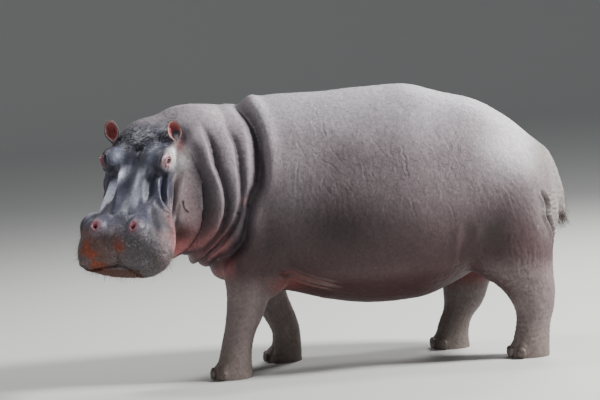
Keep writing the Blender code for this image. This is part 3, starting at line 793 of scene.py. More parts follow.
def sculpt_eyes(clay):
    """Lids that hug each eyeball, open along a slit, with folds round them."""
    for name, way in SIDES:
        for offset, radii, height in EYE_SWELLS:
            clay.swell(EYES[name] + mirrored(offset, way), radii, height)
    clay.apply()
    for name, way in SIDES:
        sculpt_lids(clay, np.array(EYES[name]), way)
    put_back(clay.mesh, clay.points)
    clay.renew()
    for name, way in SIDES:
        for radius, start, end in EYE_FOLDS:
            angles = np.linspace(math.radians(start), math.radians(end), 7)
            arc = [Vector((0.012, radius * math.cos(a), radius * math.sin(a))) for a in angles]
            arc = [Vector(EYES[name]) + eye_frame(way) @ off for off in arc]
            clay.crease(from_head(arc), 0.0038, 0.0046, stain="line")


def sculpt_toes(clay):
    """Grooves between the toes, and folds at the ankles and knees."""
    points = clay.points
    for rows in LEG_ROWS.values():
        foot = np.array((rows[-1][1], rows[-1][2]))
        where = np.nonzero((np.linalg.norm(points[:, :2] - foot, axis=1) < 0.24) & (points[:, 2] < 0.16))[0]
        off = points[where, :2] - foot
        angle = np.degrees(np.arctan2(-off[:, 1], -off[:, 0]))
        for split in (-42, 0, 42):
            gap = np.radians(angle - split) * np.linalg.norm(off, axis=1)
            clay.push[where] -= 0.012 * blob((gap, 0, 0.008)) * fade(-points[where, 2], -0.11, -0.06)
    low = np.nonzero(points[:, 2] < 0.62)[0]
    place = points[low]
    level = place[:, 2]
    wave = noise(place, (7, 7, 3), 5) * 0.034 + noise(place, (22, 22, 8), 6) * 0.006
    rings = np.sin((level + wave) * 2 * math.pi / 0.026)
    strength = 0.35 + 0.65 * fade(noise(place, (6, 6, 9), 8), -0.3, 0.5)
    zone = blob((level, 0.17, 0.09)) + 0.35 * blob((level, 0.45, 0.07))
    folds = np.sign(rings) * np.abs(rings) ** 0.7
    clay.push[low] += 0.0010 * folds * zone * strength * fade(level, 0.03, 0.08)


TAIL_FOLD = ((0.885, 0.075, 1.02), (0.905, 0.085, 0.93), (0.905, 0.095, 0.84), (0.895, 0.10, 0.76))
STIFLE = ((0.390, 0.43, 0.760), (0.375, 0.42, 0.690), (0.365, 0.39, 0.620), (0.370, 0.34, 0.560))
ELBOW = ((-0.610, 0.36, 0.560), (-0.560, 0.36, 0.520), (-0.490, 0.34, 0.495), (-0.380, 0.34, 0.470),
         (-0.270, 0.33, 0.445))
BUTTOCK_FOLD = ((0.806, 0.880), (0.818, 0.835), (0.824, 0.790), (0.820, 0.745), (0.832, 0.700),
                (0.842, 0.640), (0.840, 0.570))
BUTTOCK_LOBES = (((0.868, 0.230, 0.790), 0.080, 0.016), ((0.872, 0.220, 0.680), 0.080, 0.018),
                 ((0.795, 0.300, 0.700), 0.090, 0.012))
SCARS = ((-0.355, 1.372), (-0.325, 1.290), (0.080, 1.140), (0.088, 1.060))
SCAR_SHAPE = ((-0.014, 0.05), (0.006, 0.025), (0.002, 0.0), (0.014, -0.025), (0.016, -0.05))


def body_strokes(clay):
    """Longer creases of the trunk, elbows, flanks and rump."""
    rng = np.random.default_rng(5)

    def stroke(start, step, count, waver):
        """A route on the flank of places that stray a little from a straight line."""
        return clay.on_flank([start + step * n + rng.normal(0, waver, 2) for n in range(count)], way)

    for way in (-1, 1):
        clay.crease(mirrored(TAIL_FOLD, way), 0.014, 0.013, lip=0.7, stain="crease")
        clay.crease(clay.on_flank(BUTTOCK_FOLD, way), 0.026, 0.0150, lip=0.55, ends=0.2, stain="crease")
        clay.crease(clay.on_flank(BUTTOCK_FOLD[1:], way), 0.008, 0.0060, lip=0.2, ends=0.3, stain="crease")
        for place, wide, height in BUTTOCK_LOBES:
            clay.swell(mirrored(place, way), (0.040, wide, 0.060), height, head=False)
        for k in range(9):
            start = np.array((rng.uniform(0.815, 0.850), 0.860 - 0.030 * k + rng.uniform(-0.01, 0.01)))
            step = np.array((rng.uniform(0.010, 0.018), rng.uniform(-0.016, 0.006)))
            clay.crease(stroke(start, step, 4, 0.002), 0.005, 0.0055, lip=0.9)
        clay.crease(mirrored(STIFLE, way), 0.010, 0.030, lip=0.6)
        elbow = mirrored(ELBOW, way)
        clay.crease(elbow, 0.012, 0.013, lip=0.6, stain="belly_line")
        clay.crease(elbow * (1, 0.86, 1) - (0, 0, 0.030), 0.006, 0.008, lip=0.5, stain="belly_line")
        for _ in range(14):
            start = np.array((-0.70 + rng.uniform(-0.05, 0.11), way * 0.36, rng.uniform(0.42, 0.63)))
            size = rng.uniform(0.03, 0.07)
            lean = rng.choice((-1, 1)) * rng.uniform(0.3, 0.9)
            end = start + np.array((size, 0, size * lean))
            clay.crease((start, (start + end) / 2 + rng.normal(0, 0.004, 3), end), 0.0030, 0.0050, lip=0.4)
        for _ in range(30):
            start = np.array((rng.uniform(-0.58, 0.72), rng.uniform(0.86, 1.42)))
            size = rng.uniform(0.05, 0.17)
            lean = math.radians(rng.choice((-52, -64, -78, -110)) + rng.normal(0, 9))
            step = np.array((math.cos(lean), math.sin(lean))) * size / 5
            clay.crease(stroke(start, step, 6, 0.0035), 0.0017, 0.0040, lip=0.7, stain="scratch")
        for scar in SCARS:
            route = clay.on_flank(np.array(scar) + SCAR_SHAPE, way)
            clay.crease(route, 0.0030, 0.0042, lip=0.9, stain="scratch")


def crown_cap(clay):
    """The rough skin from between the ears to the top of the nape."""
    forward, side, up = clay.head.T
    across = fade(-np.abs(side - 0.02), -0.17, -0.11)
    return fade(forward, -0.39, -0.28) * fade(-forward, 0.02, 0.12) * across * fade(up, -0.10, 0.00)


def grain(clay):
    """Fine wrinkles all over, each part in its own direction and depth."""
    points, head = clay.points, clay.head
    x, _, z = points.T
    forward, _, up = head.T
    on_face = fade(forward, -0.34, -0.22) * (z > 0.55) * (x < -0.9)
    crown = on_face * fade(-forward, -0.02, 0.14) * fade(up, -0.14, -0.02)
    crown = np.maximum(crown * fade(-x, 1.05, 1.14), crown_cap(clay))
    muzzle = on_face * fade(forward, 0.34, 0.44) * fade(-up, 0.05, 0.15)
    body = 1 - on_face
    warp = noise(points, 14, 20)[:, None] * 0.012

    def leaning(across, along_it):
        """Points turned about Y."""
        return points @ np.array(((across, 0, along_it), (0, 1, 0), (-along_it, 0, across))).T

    patchy = 0.35 + 0.65 * fade(noise(points, 5.0, 24), -0.4, 0.5)
    lines = 0.95 * ridges(leaning(0.94, 0.34) + warp, (60, 34, 17), 21)
    lines += 0.6 * ridges(points + warp, (42, 30, 10), 22)
    lines += 0.45 * ridges(points + warp, (22, 30, 46), 23)
    lines += 0.65 * ridges(leaning(0.64, 0.77) + warp, (75, 40, 12), 35) * fade(z, 0.95, 1.25)
    clay.push -= 0.0013 * body * patchy * lines
    clay.push -= 0.0018 * crown * ridges(head + warp, (46, 34, 34), 25)
    clay.push -= 0.0014 * crown * ridges(head + warp, (90, 70, 70), 26)
    clay.push += muzzle * (np.abs(noise(head, 62, 27)) * 0.0022 + noise(head, 110, 28) * 0.0009)
    clay.push += clay.mask("lip") * noise(head, 70, 29) * 0.0022
    clay.push -= 0.0005 * on_face * ridges(head + warp, (26, 55, 55), 30)
    tail = fade(x, 0.80, 0.88) * fade(z, 0.64, 0.70)
    clay.push -= 0.0026 * tail * ridges(points + warp, (40, 30, 60), 31)
    inner = fade(z, 0.30, 0.45) * (1 - fade(z, 0.55, 0.7)) * fade(x, 0.15, 0.35)
    clay.push -= 0.0020 * inner * ridges(points + warp, (50, 50, 9), 32)
    clay.push += body * (0.0020 * noise(points, 8, 33) + 0.0008 * noise(points, 22, 34))
    clay.push += 0.0007 * body * noise(points, 110, 36)
    clay.spare_soles()
    clay.apply()


# ---------------------------------------------------------------- balls and ears
def grid_ball(rows, sides):
    """Points of a unit ball with poles on X, and its faces."""
    polar = np.linspace(0, math.pi, rows)[1:-1]
    turn = np.arange(sides) * 2 * math.pi / sides
    polar, turn = np.meshgrid(polar, turn, indexing="ij")
    ball = np.stack((np.cos(polar), np.sin(polar) * np.cos(turn), np.sin(polar) * np.sin(turn)), -1)
    points = np.concatenate(([[1, 0, 0]], ball.reshape(-1, 3), [[-1, 0, 0]]))
    faces = []
    for k in range(sides):
        after = (k + 1) % sides
        faces.append((0, 1 + k, 1 + after))
        last = 1 + (rows - 3) * sides
        faces.append((last + after, last + k, 1 + (rows - 2) * sides))
        for row in range(rows - 3):
            a, b = 1 + row * sides, 1 + (row + 1) * sides
            faces.append((a + k, b + k, b + after, a + after))
    return points, faces


EAR_RINGS, EAR_SIDES = 44, 64


def ear_parts(name):
    """Points and faces of one cupped ear, how deep each point lies in the cup, its rim, and its place."""
    place, turn = EARS[name]
    forward = HEAD_AXES.col[0]
    facing = math.atan2(forward.y, forward.x) + turn + (EAR_OPEN if name == "left" else 0.0)
    axes = np.array(Matrix.Rotation(facing, 3, "Z") @ Matrix.Rotation(EAR_LEAN, 3, "X"))
    centre = np.array(on_head(*place)) + axes @ np.array((0, 0, EAR_RISE))
    thick, wide, tall = EAR_RADII
    ball, faces = grid_ball(EAR_RINGS, EAR_SIDES)
    x, y, z = ball.T
    narrow = 1 - 0.45 * fade(-z, 0.0, 0.9)
    round_out = np.sqrt(np.clip(1 - y ** 2 - z ** 2, 0, 1))
    from_middle = (y / 0.82) ** 2 + ((z - 0.16) / 0.76) ** 2
    cup = np.clip(1 - from_middle, 0, 1)
    front = 0.30 * round_out - 1.05 * cup ** 0.75
    local_x = np.where(x > 0, np.maximum(front, 0.22 - round_out), -round_out)
    depth = np.where(x > 0, cup ** 0.5, 0.0)
    local = np.stack((local_x * thick, y * wide * narrow, z * tall), -1)
    local[:, 0] += 0.004 * noise(local, 60, 41) * (depth > 0)
    local += 0.0012 * noise(local, 90, 42)[:, None]
    rim = blob((from_middle, 1.0, 0.22)) * (x > -0.35)
    return centre + local @ axes.T, faces, depth, rim, (centre, axes)


# ---------------------------------------------------------------- colours of the hide
def mix(colours, other, amount):
    return colours + (np.array(other) - colours) * np.clip(amount, 0, 1)[:, None]


class Coat:
    """Colours of the hide, laid over one another where each point lies."""

    def __init__(self, clay):
        self.clay = clay
        points = clay.points
        self.cloud = noise(points, 3.1, 50) * 0.6 + noise(points, 8.0, 51) * 0.4
        self.fine = noise(points, 30.0, 52) * 0.5 + noise(points, 75.0, 53) * 0.5
        self.colours = np.tile((0.138, 0.108, 0.117), (len(points), 1))
        self.face = fade(clay.head[:, 0], -0.30, -0.14) * (points[:, 2] > 0.5)
        self.face *= fade(-points[:, 0] + 0.02 * self.cloud, 0.98, 1.12)

    def lay(self, colour, amount):
        self.colours = mix(self.colours, colour, amount)

    def stain(self, name, colour, amount):
        """Lay a colour where strokes left their mark."""
        self.lay(colour, self.clay.mask(name) * amount)


def paint_body(coat):
    """Grey back lit on top with painted light, dark red-brown underside deepened with painted shade, painted
    light on the rump and near shoulder, painted shade on the flanks, thighs and far hind leg, and dusty legs.
    """
    normals, cloud = coat.clay.normals, coat.cloud
    x, y, z = coat.clay.points.T
    lay = coat.lay
    # Paler grey back, lightened towards the top with painted light.
    lay((0.270, 0.250, 0.272), fade(z + 0.06 * cloud, 1.10, 1.46))
    # Darker red-brown lower flanks, deepened with painted shade.
    lay((0.054, 0.024, 0.025), fade(-z + 0.05 * cloud, -0.98, -0.60) * 0.92)
    # Painted light on the top and back of the rump.
    lay((0.62, 0.60, 0.61), fade(x, 0.40, 0.78) * fade(z, 0.90, 1.18) * 0.7)
    lay((0.20, 0.172, 0.165), fade(x, 0.70, 0.85) * fade(z, 0.50, 0.80) * 0.8)
    # Painted light on the near shoulder.
    lay((0.300, 0.255, 0.275), blob((x, -0.50, 0.13), (z, 1.10, 0.24)) * 0.8)
    shaded = 0.85 * blob((x, -0.26, 0.30), (z, 0.78, 0.16)) + 0.45 * blob((x, 0.62, 0.17), (z, 0.80, 0.17))
    shaded += 0.50 * blob((x, 0.48, 0.16), (z, 0.70, 0.13)) + 0.50 * blob((x, -0.66, 0.12), (z, 0.72, 0.14))
    lay((0.024, 0.012, 0.014), shaded)
    # Dark red underside, deepened with painted shade where the skin faces down.
    under = fade(-normals[:, 2], 0.05, 0.75) * fade(x, -0.75, -0.5)
    belly = under * fade(z, 0.25, 0.34) * fade(-z, -0.62, -0.46)
    lay((0.036, 0.008, 0.008), belly * 0.85)
    legs = fade(-z + 0.03 * cloud, -0.58, -0.42) * fade(np.abs(y), 0.06, 0.13) * (1 - belly)
    lay((0.185, 0.145, 0.140), legs * 0.80)
    lay((0.175, 0.140, 0.115), fade(-z + 0.03 * cloud, -0.26, -0.05) * 0.45)
    # Painted shade on the far hind leg.
    lay((0.085, 0.068, 0.058), legs * fade(x, 0.10, 0.25) * fade(y, 0.05, 0.12) * 0.55)
    inner = fade(np.sign(y) * -normals[:, 1], 0.2, 0.8) * fade(z, 0.30, 0.42) * fade(-z, -0.72, -0.58)
    lay((0.100, 0.008, 0.010), inner * fade(np.abs(y), 0.06, 0.12) * (x > 0.1) * (x < 0.85) * 0.92)
    lay((0.200, 0.050, 0.042), blob((x, -0.56, 0.10), (z, 0.475, 0.045)) * 0.7)
    neck = fade(-x, 0.62, 0.74) * fade(z, 0.52, 0.62) * (1 - coat.face)
    lay((0.250, 0.210, 0.228), neck * 0.8 * fade(z, 0.70, 1.05))
    lay((0.230, 0.098, 0.104), neck * fade(-z + 0.05 * cloud, -1.00, -0.76) * fade(-x, 0.80, 0.92) * 0.85)
    lay((0.60, 0.33, 0.33), blob((x, -0.763, 0.016), (z, 0.949, 0.020)) * (y < 0))


def paint_head(coat):
    """Blue-grey face, pink cheeks and throat and rough crown, with painted reflections, highlights and shade;
    returns the parts that shine.
    """
    clay, cloud, face, lay = coat.clay, coat.cloud, coat.face, coat.lay
    x, y, z = clay.points.T
    forward, side, up = clay.head.T
    cap = crown_cap(clay) * fade(cloud, -0.9, 0.1)
    top = face * fade(up, -0.22, -0.10)
    cheek = fade(forward, -0.30, -0.14) * fade(-x, 0.98, 1.06) * fade(np.abs(side), 0.19, 0.23)
    cheek *= (1 - fade(forward, 0.14, 0.24)) * fade(-up, 0.00, 0.06)
    lay((0.050, 0.052, 0.082), top * 0.94)
    lay((0.120, 0.100, 0.112), face * (1 - top) * 0.8)
    lay((0.060, 0.059, 0.074), cap * (1 - top) * 0.90)
    pad_top = face * fade(forward, 0.16, 0.26) * fade(-up, 0.06, 0.12)
    # Painted shade on the top of the lip pads.
    lay((0.034, 0.031, 0.039), pad_top * 0.9)
    # Pink near cheek, lightened with painted light; painted shade darkens the far cheek.
    far_side = fade(-side, 0.12, 0.20)
    lay((0.640, 0.500, 0.520), cheek * 0.90 * (1 - 0.75 * far_side))
    lay((0.080, 0.070, 0.085), cheek * 0.8 * far_side)
    jowl = fade(-x, 0.82, 0.95) * fade(-z + 0.02 * cloud, -0.86, -0.74) * fade(z, 0.50, 0.60)
    jowl *= 1 - fade(forward, 0.36, 0.42) * fade(-x, 1.18, 1.26)
    lay((0.580, 0.200, 0.205), jowl * 0.85)
    # Painted shade darkens the jowl towards the far side.
    lay((0.120, 0.066, 0.068), jowl * 0.8 * fade(y, -0.15, 0.10))
    # Painted shade on the throat, where the skin faces down and lowest.
    gullet = jowl * np.maximum(fade(-clay.normals[:, 2], 0.25, 0.7), fade(-z, -0.70, -0.61))
    lay((0.050, 0.016, 0.015), gullet * 0.9)
    # Painted shadow under the near cheek.
    lay((0.060, 0.044, 0.040), blob((x, -1.09, 0.09), (z, 0.795, 0.040)) * (y < -0.1) * 0.75)
    # Painted shade in and behind the neck creases, in the cheek pit and in the tail and buttock folds.
    coat.stain("crease", (0.016, 0.012, 0.019), 0.86)
    crown = face * fade(-forward, 0.06, 0.20) * fade(up, -0.08, 0.02) * fade(-x, 1.05, 1.14)
    # Painted shade on the forehead.
    lay((0.020, 0.020, 0.034), top * fade(-forward, -0.06, 0.02) * (0.94 - 0.08 * cap))
    speckle = fade(noise(clay.head, 60, 60) + 0.5 * noise(clay.head, 130, 61), 0.1, 0.6)
    lay((0.340, 0.340, 0.370), np.maximum(crown, cap) * speckle * 0.42)
    pale = blob((forward, -0.060, 0.070), (up, -0.040, 0.070)) * fade(side, 0.16, 0.20) * face
    lay((0.92, 0.89, 0.91), np.clip(pale * 1.2, 0, 0.95))
    # Painted highlight on the brows.
    lay((0.170, 0.185, 0.245), face * blob((forward, -0.02, 0.07), (np.abs(side), 0.10, 0.035)) * 0.75)
    # Painted reflections along the wet snout.
    near_reflection = 0.72 * blob((side + 0.11 * forward, 0.058, 0.025)) * fade(up, -0.12, -0.07)
    far_reflection = 1.6 * blob((side + 0.72 * forward, -0.012, 0.036)) * fade(up, -0.20, -0.13)
    streaks = face * fade(forward, 0.02, 0.09) * (1 - fade(forward, 0.24, 0.34)) * (near_reflection + far_reflection)
    streaks *= 0.85 + 0.55 * noise(clay.head, (14, 45, 45), 66)
    lay((0.80, 0.83, 0.97), np.clip(streaks, 0, 1) * 0.92)
    return top, pad_top, streaks


def paint_muzzle(coat):
    """Dark speckled muzzle with orange-brown soil, lips, nostrils and mouth, with painted shade in the
    nostril slits and mouth line; returns the muzzle.
    """
    face, fine, head = coat.face, coat.fine, coat.clay.head
    forward, side, up = head.T
    muzzle = face * fade(forward, 0.34, 0.45) * fade(-up, 0.03, 0.10)
    coat.lay((0.074, 0.065, 0.073), muzzle * 0.92)
    dots = fade(noise(head, 190, 62), 0.0, 0.70) * fade(noise(head, 20, 67), -0.5, 0.4)
    coat.lay((0.300, 0.290, 0.300), muzzle * dots * 0.50)
    soil = 1.2 * blob((side, -0.165, 0.075), (up, -0.165, 0.075))
    soil += 1.1 * blob((side, 0.020, 0.034), (up, -0.112, 0.026))
    soil += 0.9 * blob((side, -0.12, 0.050), (up, -0.232, 0.034))
    ragged = fade(noise(head, 26, 63) + 0.5 * noise(head, 60, 64), -0.75, 0.25)
    soil = muzzle * np.clip(soil, 0, 1) * ragged
    coat.lay((0.230, 0.036, 0.007), soil * 0.92)
    coat.lay((0.120, 0.060, 0.042), muzzle * blob((side, -0.10, 0.13), (up, -0.13, 0.12)) * (1 - soil) * 0.60)
    coat.stain("lower_lip", (0.066, 0.012, 0.004), muzzle * (0.75 + 0.25 * fade(fine, -0.2, 0.4)))
    coat.stain("lip", (0.330, 0.165, 0.160), (0.55 + 0.45 * fade(fine, -0.3, 0.3)) * 0.85)
    coat.stain("rim", (0.260, 0.180, 0.190), 0.55)
    coat.stain("nostril", (0.520, 0.130, 0.170), 0.85)
    # Painted shade in the nostril slits and along the mouth line.
    coat.stain("hole", (0.030, 0.008, 0.010), 0.95)
    coat.stain("mouth", (0.035, 0.022, 0.020), 0.85)
    return muzzle


def paint_marks(coat):
    """Lids, darker with painted shade on the far eye; painted shade in the eye hollows, fold lines and
    forehead pit; ear roots, scratches, tail and specks.
    """
    clay, cloud, fine, face = coat.clay, coat.cloud, coat.fine, coat.face
    x, _, z = clay.points.T
    side = clay.head[:, 1]
    lid_cloud = 0.55 + 0.45 * fade(fine + cloud, -0.5, 0.5)
    # Pale pink lids on the near eye; on the far eye a darker red, painted shade.
    coat.stain("lid", (0.860, 0.590, 0.620), lid_cloud * 0.90 * (side > 0))
    coat.stain("lid", (0.300, 0.130, 0.130), lid_cloud * 0.80 * (side < 0))
    coat.stain("lid_edge", (0.460, 0.130, 0.150), 0.80)

    def on_both(places, radii, far_amount):
        off = [(clay.head - place) / radii for place in places]
        left, right = (np.exp(-(gap ** 2).sum(1)) for gap in off)
        return np.maximum(left, right * far_amount)

    # Painted shade in the hollows in front of the eyes.
    hollows = [EYES[name] + mirrored((0.045, -0.045, -0.030), way) for name, way in SIDES]
    coat.lay((0.035, 0.028, 0.034), on_both(hollows, (0.040, 0.030, 0.045), 1.0) * face * 0.75)
    ear_roots = [mirrored((-0.112, 0.218, -0.020), way) for way in BOTH]
    coat.lay((0.480, 0.150, 0.130), on_both(ear_roots, (0.045, 0.03, 0.05), 0.45) * face * 0.8)
    # Painted shade in the fold lines round the eyes.
    coat.stain("line", coat.colours * 0.45, 0.7)
    # Painted shade in the forehead pit.
    coat.stain("pit", (0.010, 0.009, 0.012), 0.75)
    coat.stain("belly_line", (0.190, 0.058, 0.048), 0.50)
    coat.stain("scratch", coat.colours * 1.5 + 0.03, 0.3 * fade(fine, -0.5, 0.3))
    coat.lay((0.330, 0.300, 0.290), fade(x, 0.84, 0.90) * fade(z, 0.62, 0.68) * 0.5)
    specks = fade(noise(clay.points, 46, 70), 0.78, 0.92) * fade(noise(clay.points, 4, 71), -0.2, 0.4)
    coat.lay((0.36, 0.32, 0.32), specks * (1 - face) * 0.38)


def paint(clay):
    """Colour and roughness of the hide at each point."""
    coat = Coat(clay)
    paint_body(coat)
    top, pad_top, streaks = paint_head(coat)
    muzzle = paint_muzzle(coat)
    paint_marks(coat)
    shade = 1 + 0.16 * coat.cloud + 0.12 * coat.fine + 0.20 * noise(clay.points, 150.0, 54)
    wet = 0.35 * top + 0.15 * coat.face + 0.9 * clay.mask("lid_edge") + 0.8 * clay.mask("nostril")
    wet += 0.35 * streaks - 0.80 * muzzle - 0.5 * pad_top * (1 - muzzle)
    return np.clip(coat.colours * shade[:, None], 0.004, 0.9), np.clip(0.56 - 0.22 * wet, 0.24, 0.8)


# ---------------------------------------------------------------- unwrap of the skin
ATLAS_SIDE = 5.0                    # metres of skin along the side of the unwrap
CHART_MARGIN = 0.01                 # metres round each chart
ACROSS = np.array(((1, 2), (0, 2), (0, 1)))     # the two axes of the side of a box that faces each axis


def regions_of(points):
    """Which part of the body each point belongs to: head, body, four legs or tail."""
    region = np.ones(len(points), int)
    region[(to_head(points)[:, 0] > -0.22) & (points[:, 0] < -0.95)] = 0
    for k, rows in enumerate(LEG_ROWS.values()):
        side = math.copysign(1, rows[0][2])
        x_near = np.abs(points[:, 0] - rows[3][1]) < 0.36
        region[(points[:, 2] < 0.47) & (points[:, 1] * side > 0.10) & x_near & (region == 1)] = 2 + k
    region[(points[:, 0] > 0.885) & (region == 1)] = 6
    return region


def charts_of(normals, region):
    """The side of its region's box that each normal faces."""
    facing = np.where((region == 0)[:, None], normals @ HEAD_MATRIX, normals)
    axis = np.abs(facing).argmax(1)
    return region * 6 + axis * 2 + (facing[np.arange(len(facing)), axis] > 0)


def on_chart(points, chart):
    """Each point's place on its chart."""
    local = np.where((chart < 6)[:, None], to_head(points), points)
    return np.take_along_axis(local, ACROSS[chart % 6 // 2], 1)


class Atlas:
    """Shelves of charts, filled in order of height."""

    def __init__(self, chart, place):
        self.origin = {}
        boxes = []
        for k in np.unique(chart):
            inside = place[chart == k]
            low, high = inside.min(0) - CHART_MARGIN, inside.max(0) + CHART_MARGIN
            boxes.append((high[1] - low[1], high[0] - low[0], int(k), low))
        x = y = shelf = 0.0
        for height, width, k, low in sorted(boxes, key=lambda box: (-box[0], box[2])):
            if x + width > ATLAS_SIDE:
                x, y, shelf = 0.0, y + shelf, 0.0
            self.origin[k] = (x - low[0], y - low[1])
            shelf = max(shelf, height)
            x += width
        self.side = max(ATLAS_SIDE, y + shelf)

    def uv(self, chart, place):
        origins = np.zeros((int(max(self.origin)) + 1, 2))
        for k, origin in self.origin.items():
            origins[k] = origin
        return (place + origins[np.clip(chart, 0, len(origins) - 1)]) / self.side


def write_uv(mesh, uv):
    layer = mesh.uv_layers.new(name="OFBake")
    layer.uv.foreach_set("vector", uv.astype(np.float32).ravel())


def unwrap_skin(mesh, plain_normals):
    """Unwrap by the smooth shape: each face goes to the chart its middle faces."""
    corners = read(mesh.loops, "vertex_index", kind=np.int32)
    total = read(mesh.polygons, "loop_total", kind=np.int32)
    face_of = np.repeat(np.arange(len(total)), total)
    points = read(mesh.vertices, "co", 3)[corners]
    facing = np.stack([np.bincount(face_of, plain_normals[corners, k]) for k in range(3)], 1)
    middles = np.stack([np.bincount(face_of, points[:, k]) for k in range(3)], 1) / total[:, None]
    chart = charts_of(facing, regions_of(middles))[face_of]
    place = on_chart(points, chart)
    atlas = Atlas(chart, place)
    write_uv(mesh, atlas.uv(chart, place))
    return atlas


# ---------------------------------------------------------------- materials
class Material:
    """A Principled material, with short ways to add the nodes it needs."""

    def __init__(self, name, **settings):
        self.made = bpy.data.materials.new(name)
        self.made.use_nodes = True
        self.tree = self.made.node_tree
        self.shader = self.tree.nodes["Principled BSDF"]
        self.set(**settings)

    def set(self, **settings):
        """Set or link inputs of the shader, named with _ for a space."""
        for name, value in settings.items():
            self.put(self.shader, name.replace("_", " "), value)

    def put(self, node, key, value):
        if isinstance(value, bpy.types.NodeSocket):
            self.tree.links.new(value, node.inputs[key])
        else:
            node.inputs[key].default_value = value

    def add(self, kind, inputs=(), **settings):
        node = self.tree.nodes.new("ShaderNode" + kind)
        for key, value in settings.items():
            setattr(node, key, value)
        for key, value in dict(inputs).items():
            self.put(node, key, value)
        return node

    def attribute(self, name, output):
        return self.add("Attribute", attribute_name=name).outputs[output]

    def place(self):
        return self.add("TexCoord").outputs["Object"]

    def noise(self, place, scale, detail=2.0, rough=0.5, output="Fac"):
        inputs = {"Vector": place, "Scale": scale, "Detail": detail, "Roughness": rough}
        return self.add("TexNoise", inputs).outputs[output]

    def cracks(self, place, scale, width):
        """0 on the edges of cells, 1 inside them."""
        cells = self.add("TexVoronoi", {"Vector": place, "Scale": scale}, feature="DISTANCE_TO_EDGE")
        return self.span(cells.outputs["Distance"], 0.0, width, 0.0, 1.0)

    def span(self, value, low, high, start, end):
        """Map low..high to start..end."""
        inputs = {"Value": value, "From Min": low, "From Max": high, "To Min": start, "To Max": end}
        return self.add("MapRange", inputs).outputs[0]

    def combine(self, kind, first, second):
        return self.add("Math", {0: first, 1: second}, operation=kind).outputs[0]

    def shaded(self, colour, level):
        return self.add("VectorMath", {0: colour, 1: level}, operation="MULTIPLY").outputs[0]

    def ramp(self, value, *stops):
        node = self.add("ValToRGB", {"Fac": value})
        for element, (position, colour) in zip(node.color_ramp.elements, stops):
            element.position = position
            element.color = (*colour, 1)
        return node.outputs[0]

    def bump(self, height, strength, distance):
        return self.add("Bump", {"Height": height, "Strength": strength, "Distance": distance}).outputs[0]


def hide_material():
    """The skin's painted colours, painted light and shade among them, with cracks, pores and mottling at
    several scales.
    """
    hide = Material("hippo_hide", Specular_IOR_Level=0.42)
    place = hide.place()
    lean = hide.add("Mapping", {"Vector": place, "Rotation": (0.0, 0.35, 0.0), "Scale": (1.0, 0.7, 0.45)})
    warp = hide.noise(place, 18.0, output="Color")
    bent = hide.add("MixRGB", {"Fac": 0.04, "Color1": lean.outputs[0], "Color2": warp}).outputs[0]
    thin, broad = hide.cracks(bent, 95.0, 0.16), hide.cracks(bent, 34.0, 0.10)
    pores = hide.noise(place, 260.0, 3.0, 0.6)
    mottle = hide.noise(place, 55.0, 4.0, 0.65)
    shade = hide.combine("MULTIPLY", hide.span(thin, 0, 1, 0.88, 1.03), hide.span(broad, 0, 1, 0.90, 1.02))
    shade = hide.combine("MULTIPLY", shade, hide.span(mottle, 0.3, 0.7, 0.84, 1.18))
    gloss = hide.combine("ADD", hide.attribute("hide_gloss", "Fac"), hide.span(pores, 0.3, 0.7, -0.06, 0.08))
    tall = hide.combine("ADD", hide.combine("ADD", thin, broad), pores)
    hide.set(Base_Color=hide.shaded(hide.attribute("hide_colour", "Color"), shade), Roughness=gloss,
             Normal=hide.bump(tall, 0.24, 0.0016))
    return hide.made


def horn_material():
    horn = Material("nail_horn", Roughness=0.5)
    streaks = horn.noise(horn.place(), 120.0, 4.0)
    horn.set(Base_Color=horn.ramp(streaks, (0.3, (0.050, 0.038, 0.034)), (0.75, (0.190, 0.150, 0.125))),
             Normal=horn.bump(streaks, 0.4, 0.001))
    return horn.made


def eye_material():
    wet = Material("eye_wet", Roughness=0.12, Coat_Weight=0.5, Coat_Roughness=0.06)
    level = wet.span(wet.noise(wet.place(), 400.0), 0, 1, 0.75, 1.25)
    wet.set(Base_Color=wet.shaded(wet.attribute("eye_colour", "Color"), level))
    return wet.made


def hair_material(name, dark, pale):
    hair = Material(name, Roughness=0.45)
    hair.set(Base_Color=hair.ramp(hair.noise(hair.place(), 140.0), (0.35, dark), (0.65, pale)))
    return hair.made


def attribute(mesh, name, values):
    """Give each point a colour, or one number."""
    if values.ndim == 1:
        mesh.attributes.new(name, "FLOAT", "POINT").data.foreach_set("value", values.astype(np.float32))
        return
    rgba = np.ones((len(values), 4), np.float32)
    rgba[:, :3] = values
    mesh.color_attributes.new(name, "FLOAT_COLOR", "POINT").data.foreach_set("color", rgba.ravel())


# ---------------------------------------------------------------- pieces
def level_soles(mesh):
    bm = bmesh.new()
    bm.from_mesh(mesh)
    everything = bm.verts[:] + bm.edges[:] + bm.faces[:]
    cut = bmesh.ops.bisect_plane(
        bm, geom=everything, plane_co=(0, 0, 0), plane_no=(0, 0, 1), clear_inner=True)
    rim = [item for item in cut["geom_cut"] if isinstance(item, bmesh.types.BMEdge)]
    bmesh.ops.holes_fill(bm, edges=rim)
    bmesh.ops.recalc_face_normals(bm, faces=bm.faces[:])
    bm.to_mesh(mesh)
    bm.free()


def joined(parts):
    """Points and faces of several meshes as one."""
    points, faces, start = [], [], 0
    for part_points, part_faces in parts:
        points.append(part_points)
        faces.extend(tuple(v + start for v in face) for face in part_faces)
        start += len(part_points)
    return np.concatenate(points), faces


def from_eyes(head):
    """Distance of each place in the head's frame from the nearer eye."""
    return np.minimum(*(np.linalg.norm(head - np.array(place), axis=1) for place in EYES.values()))


def by_openings(_, head):
    """The faces near an eye or a nostril."""
    sided = head * (1, 0, 1) + np.abs(head) * (0, 1, 0)
    nostrils = np.linalg.norm(sided - np.array((0.415, 0.112, -0.045)), axis=1) < 0.050
    return (from_eyes(head) < 0.075) | nostrils


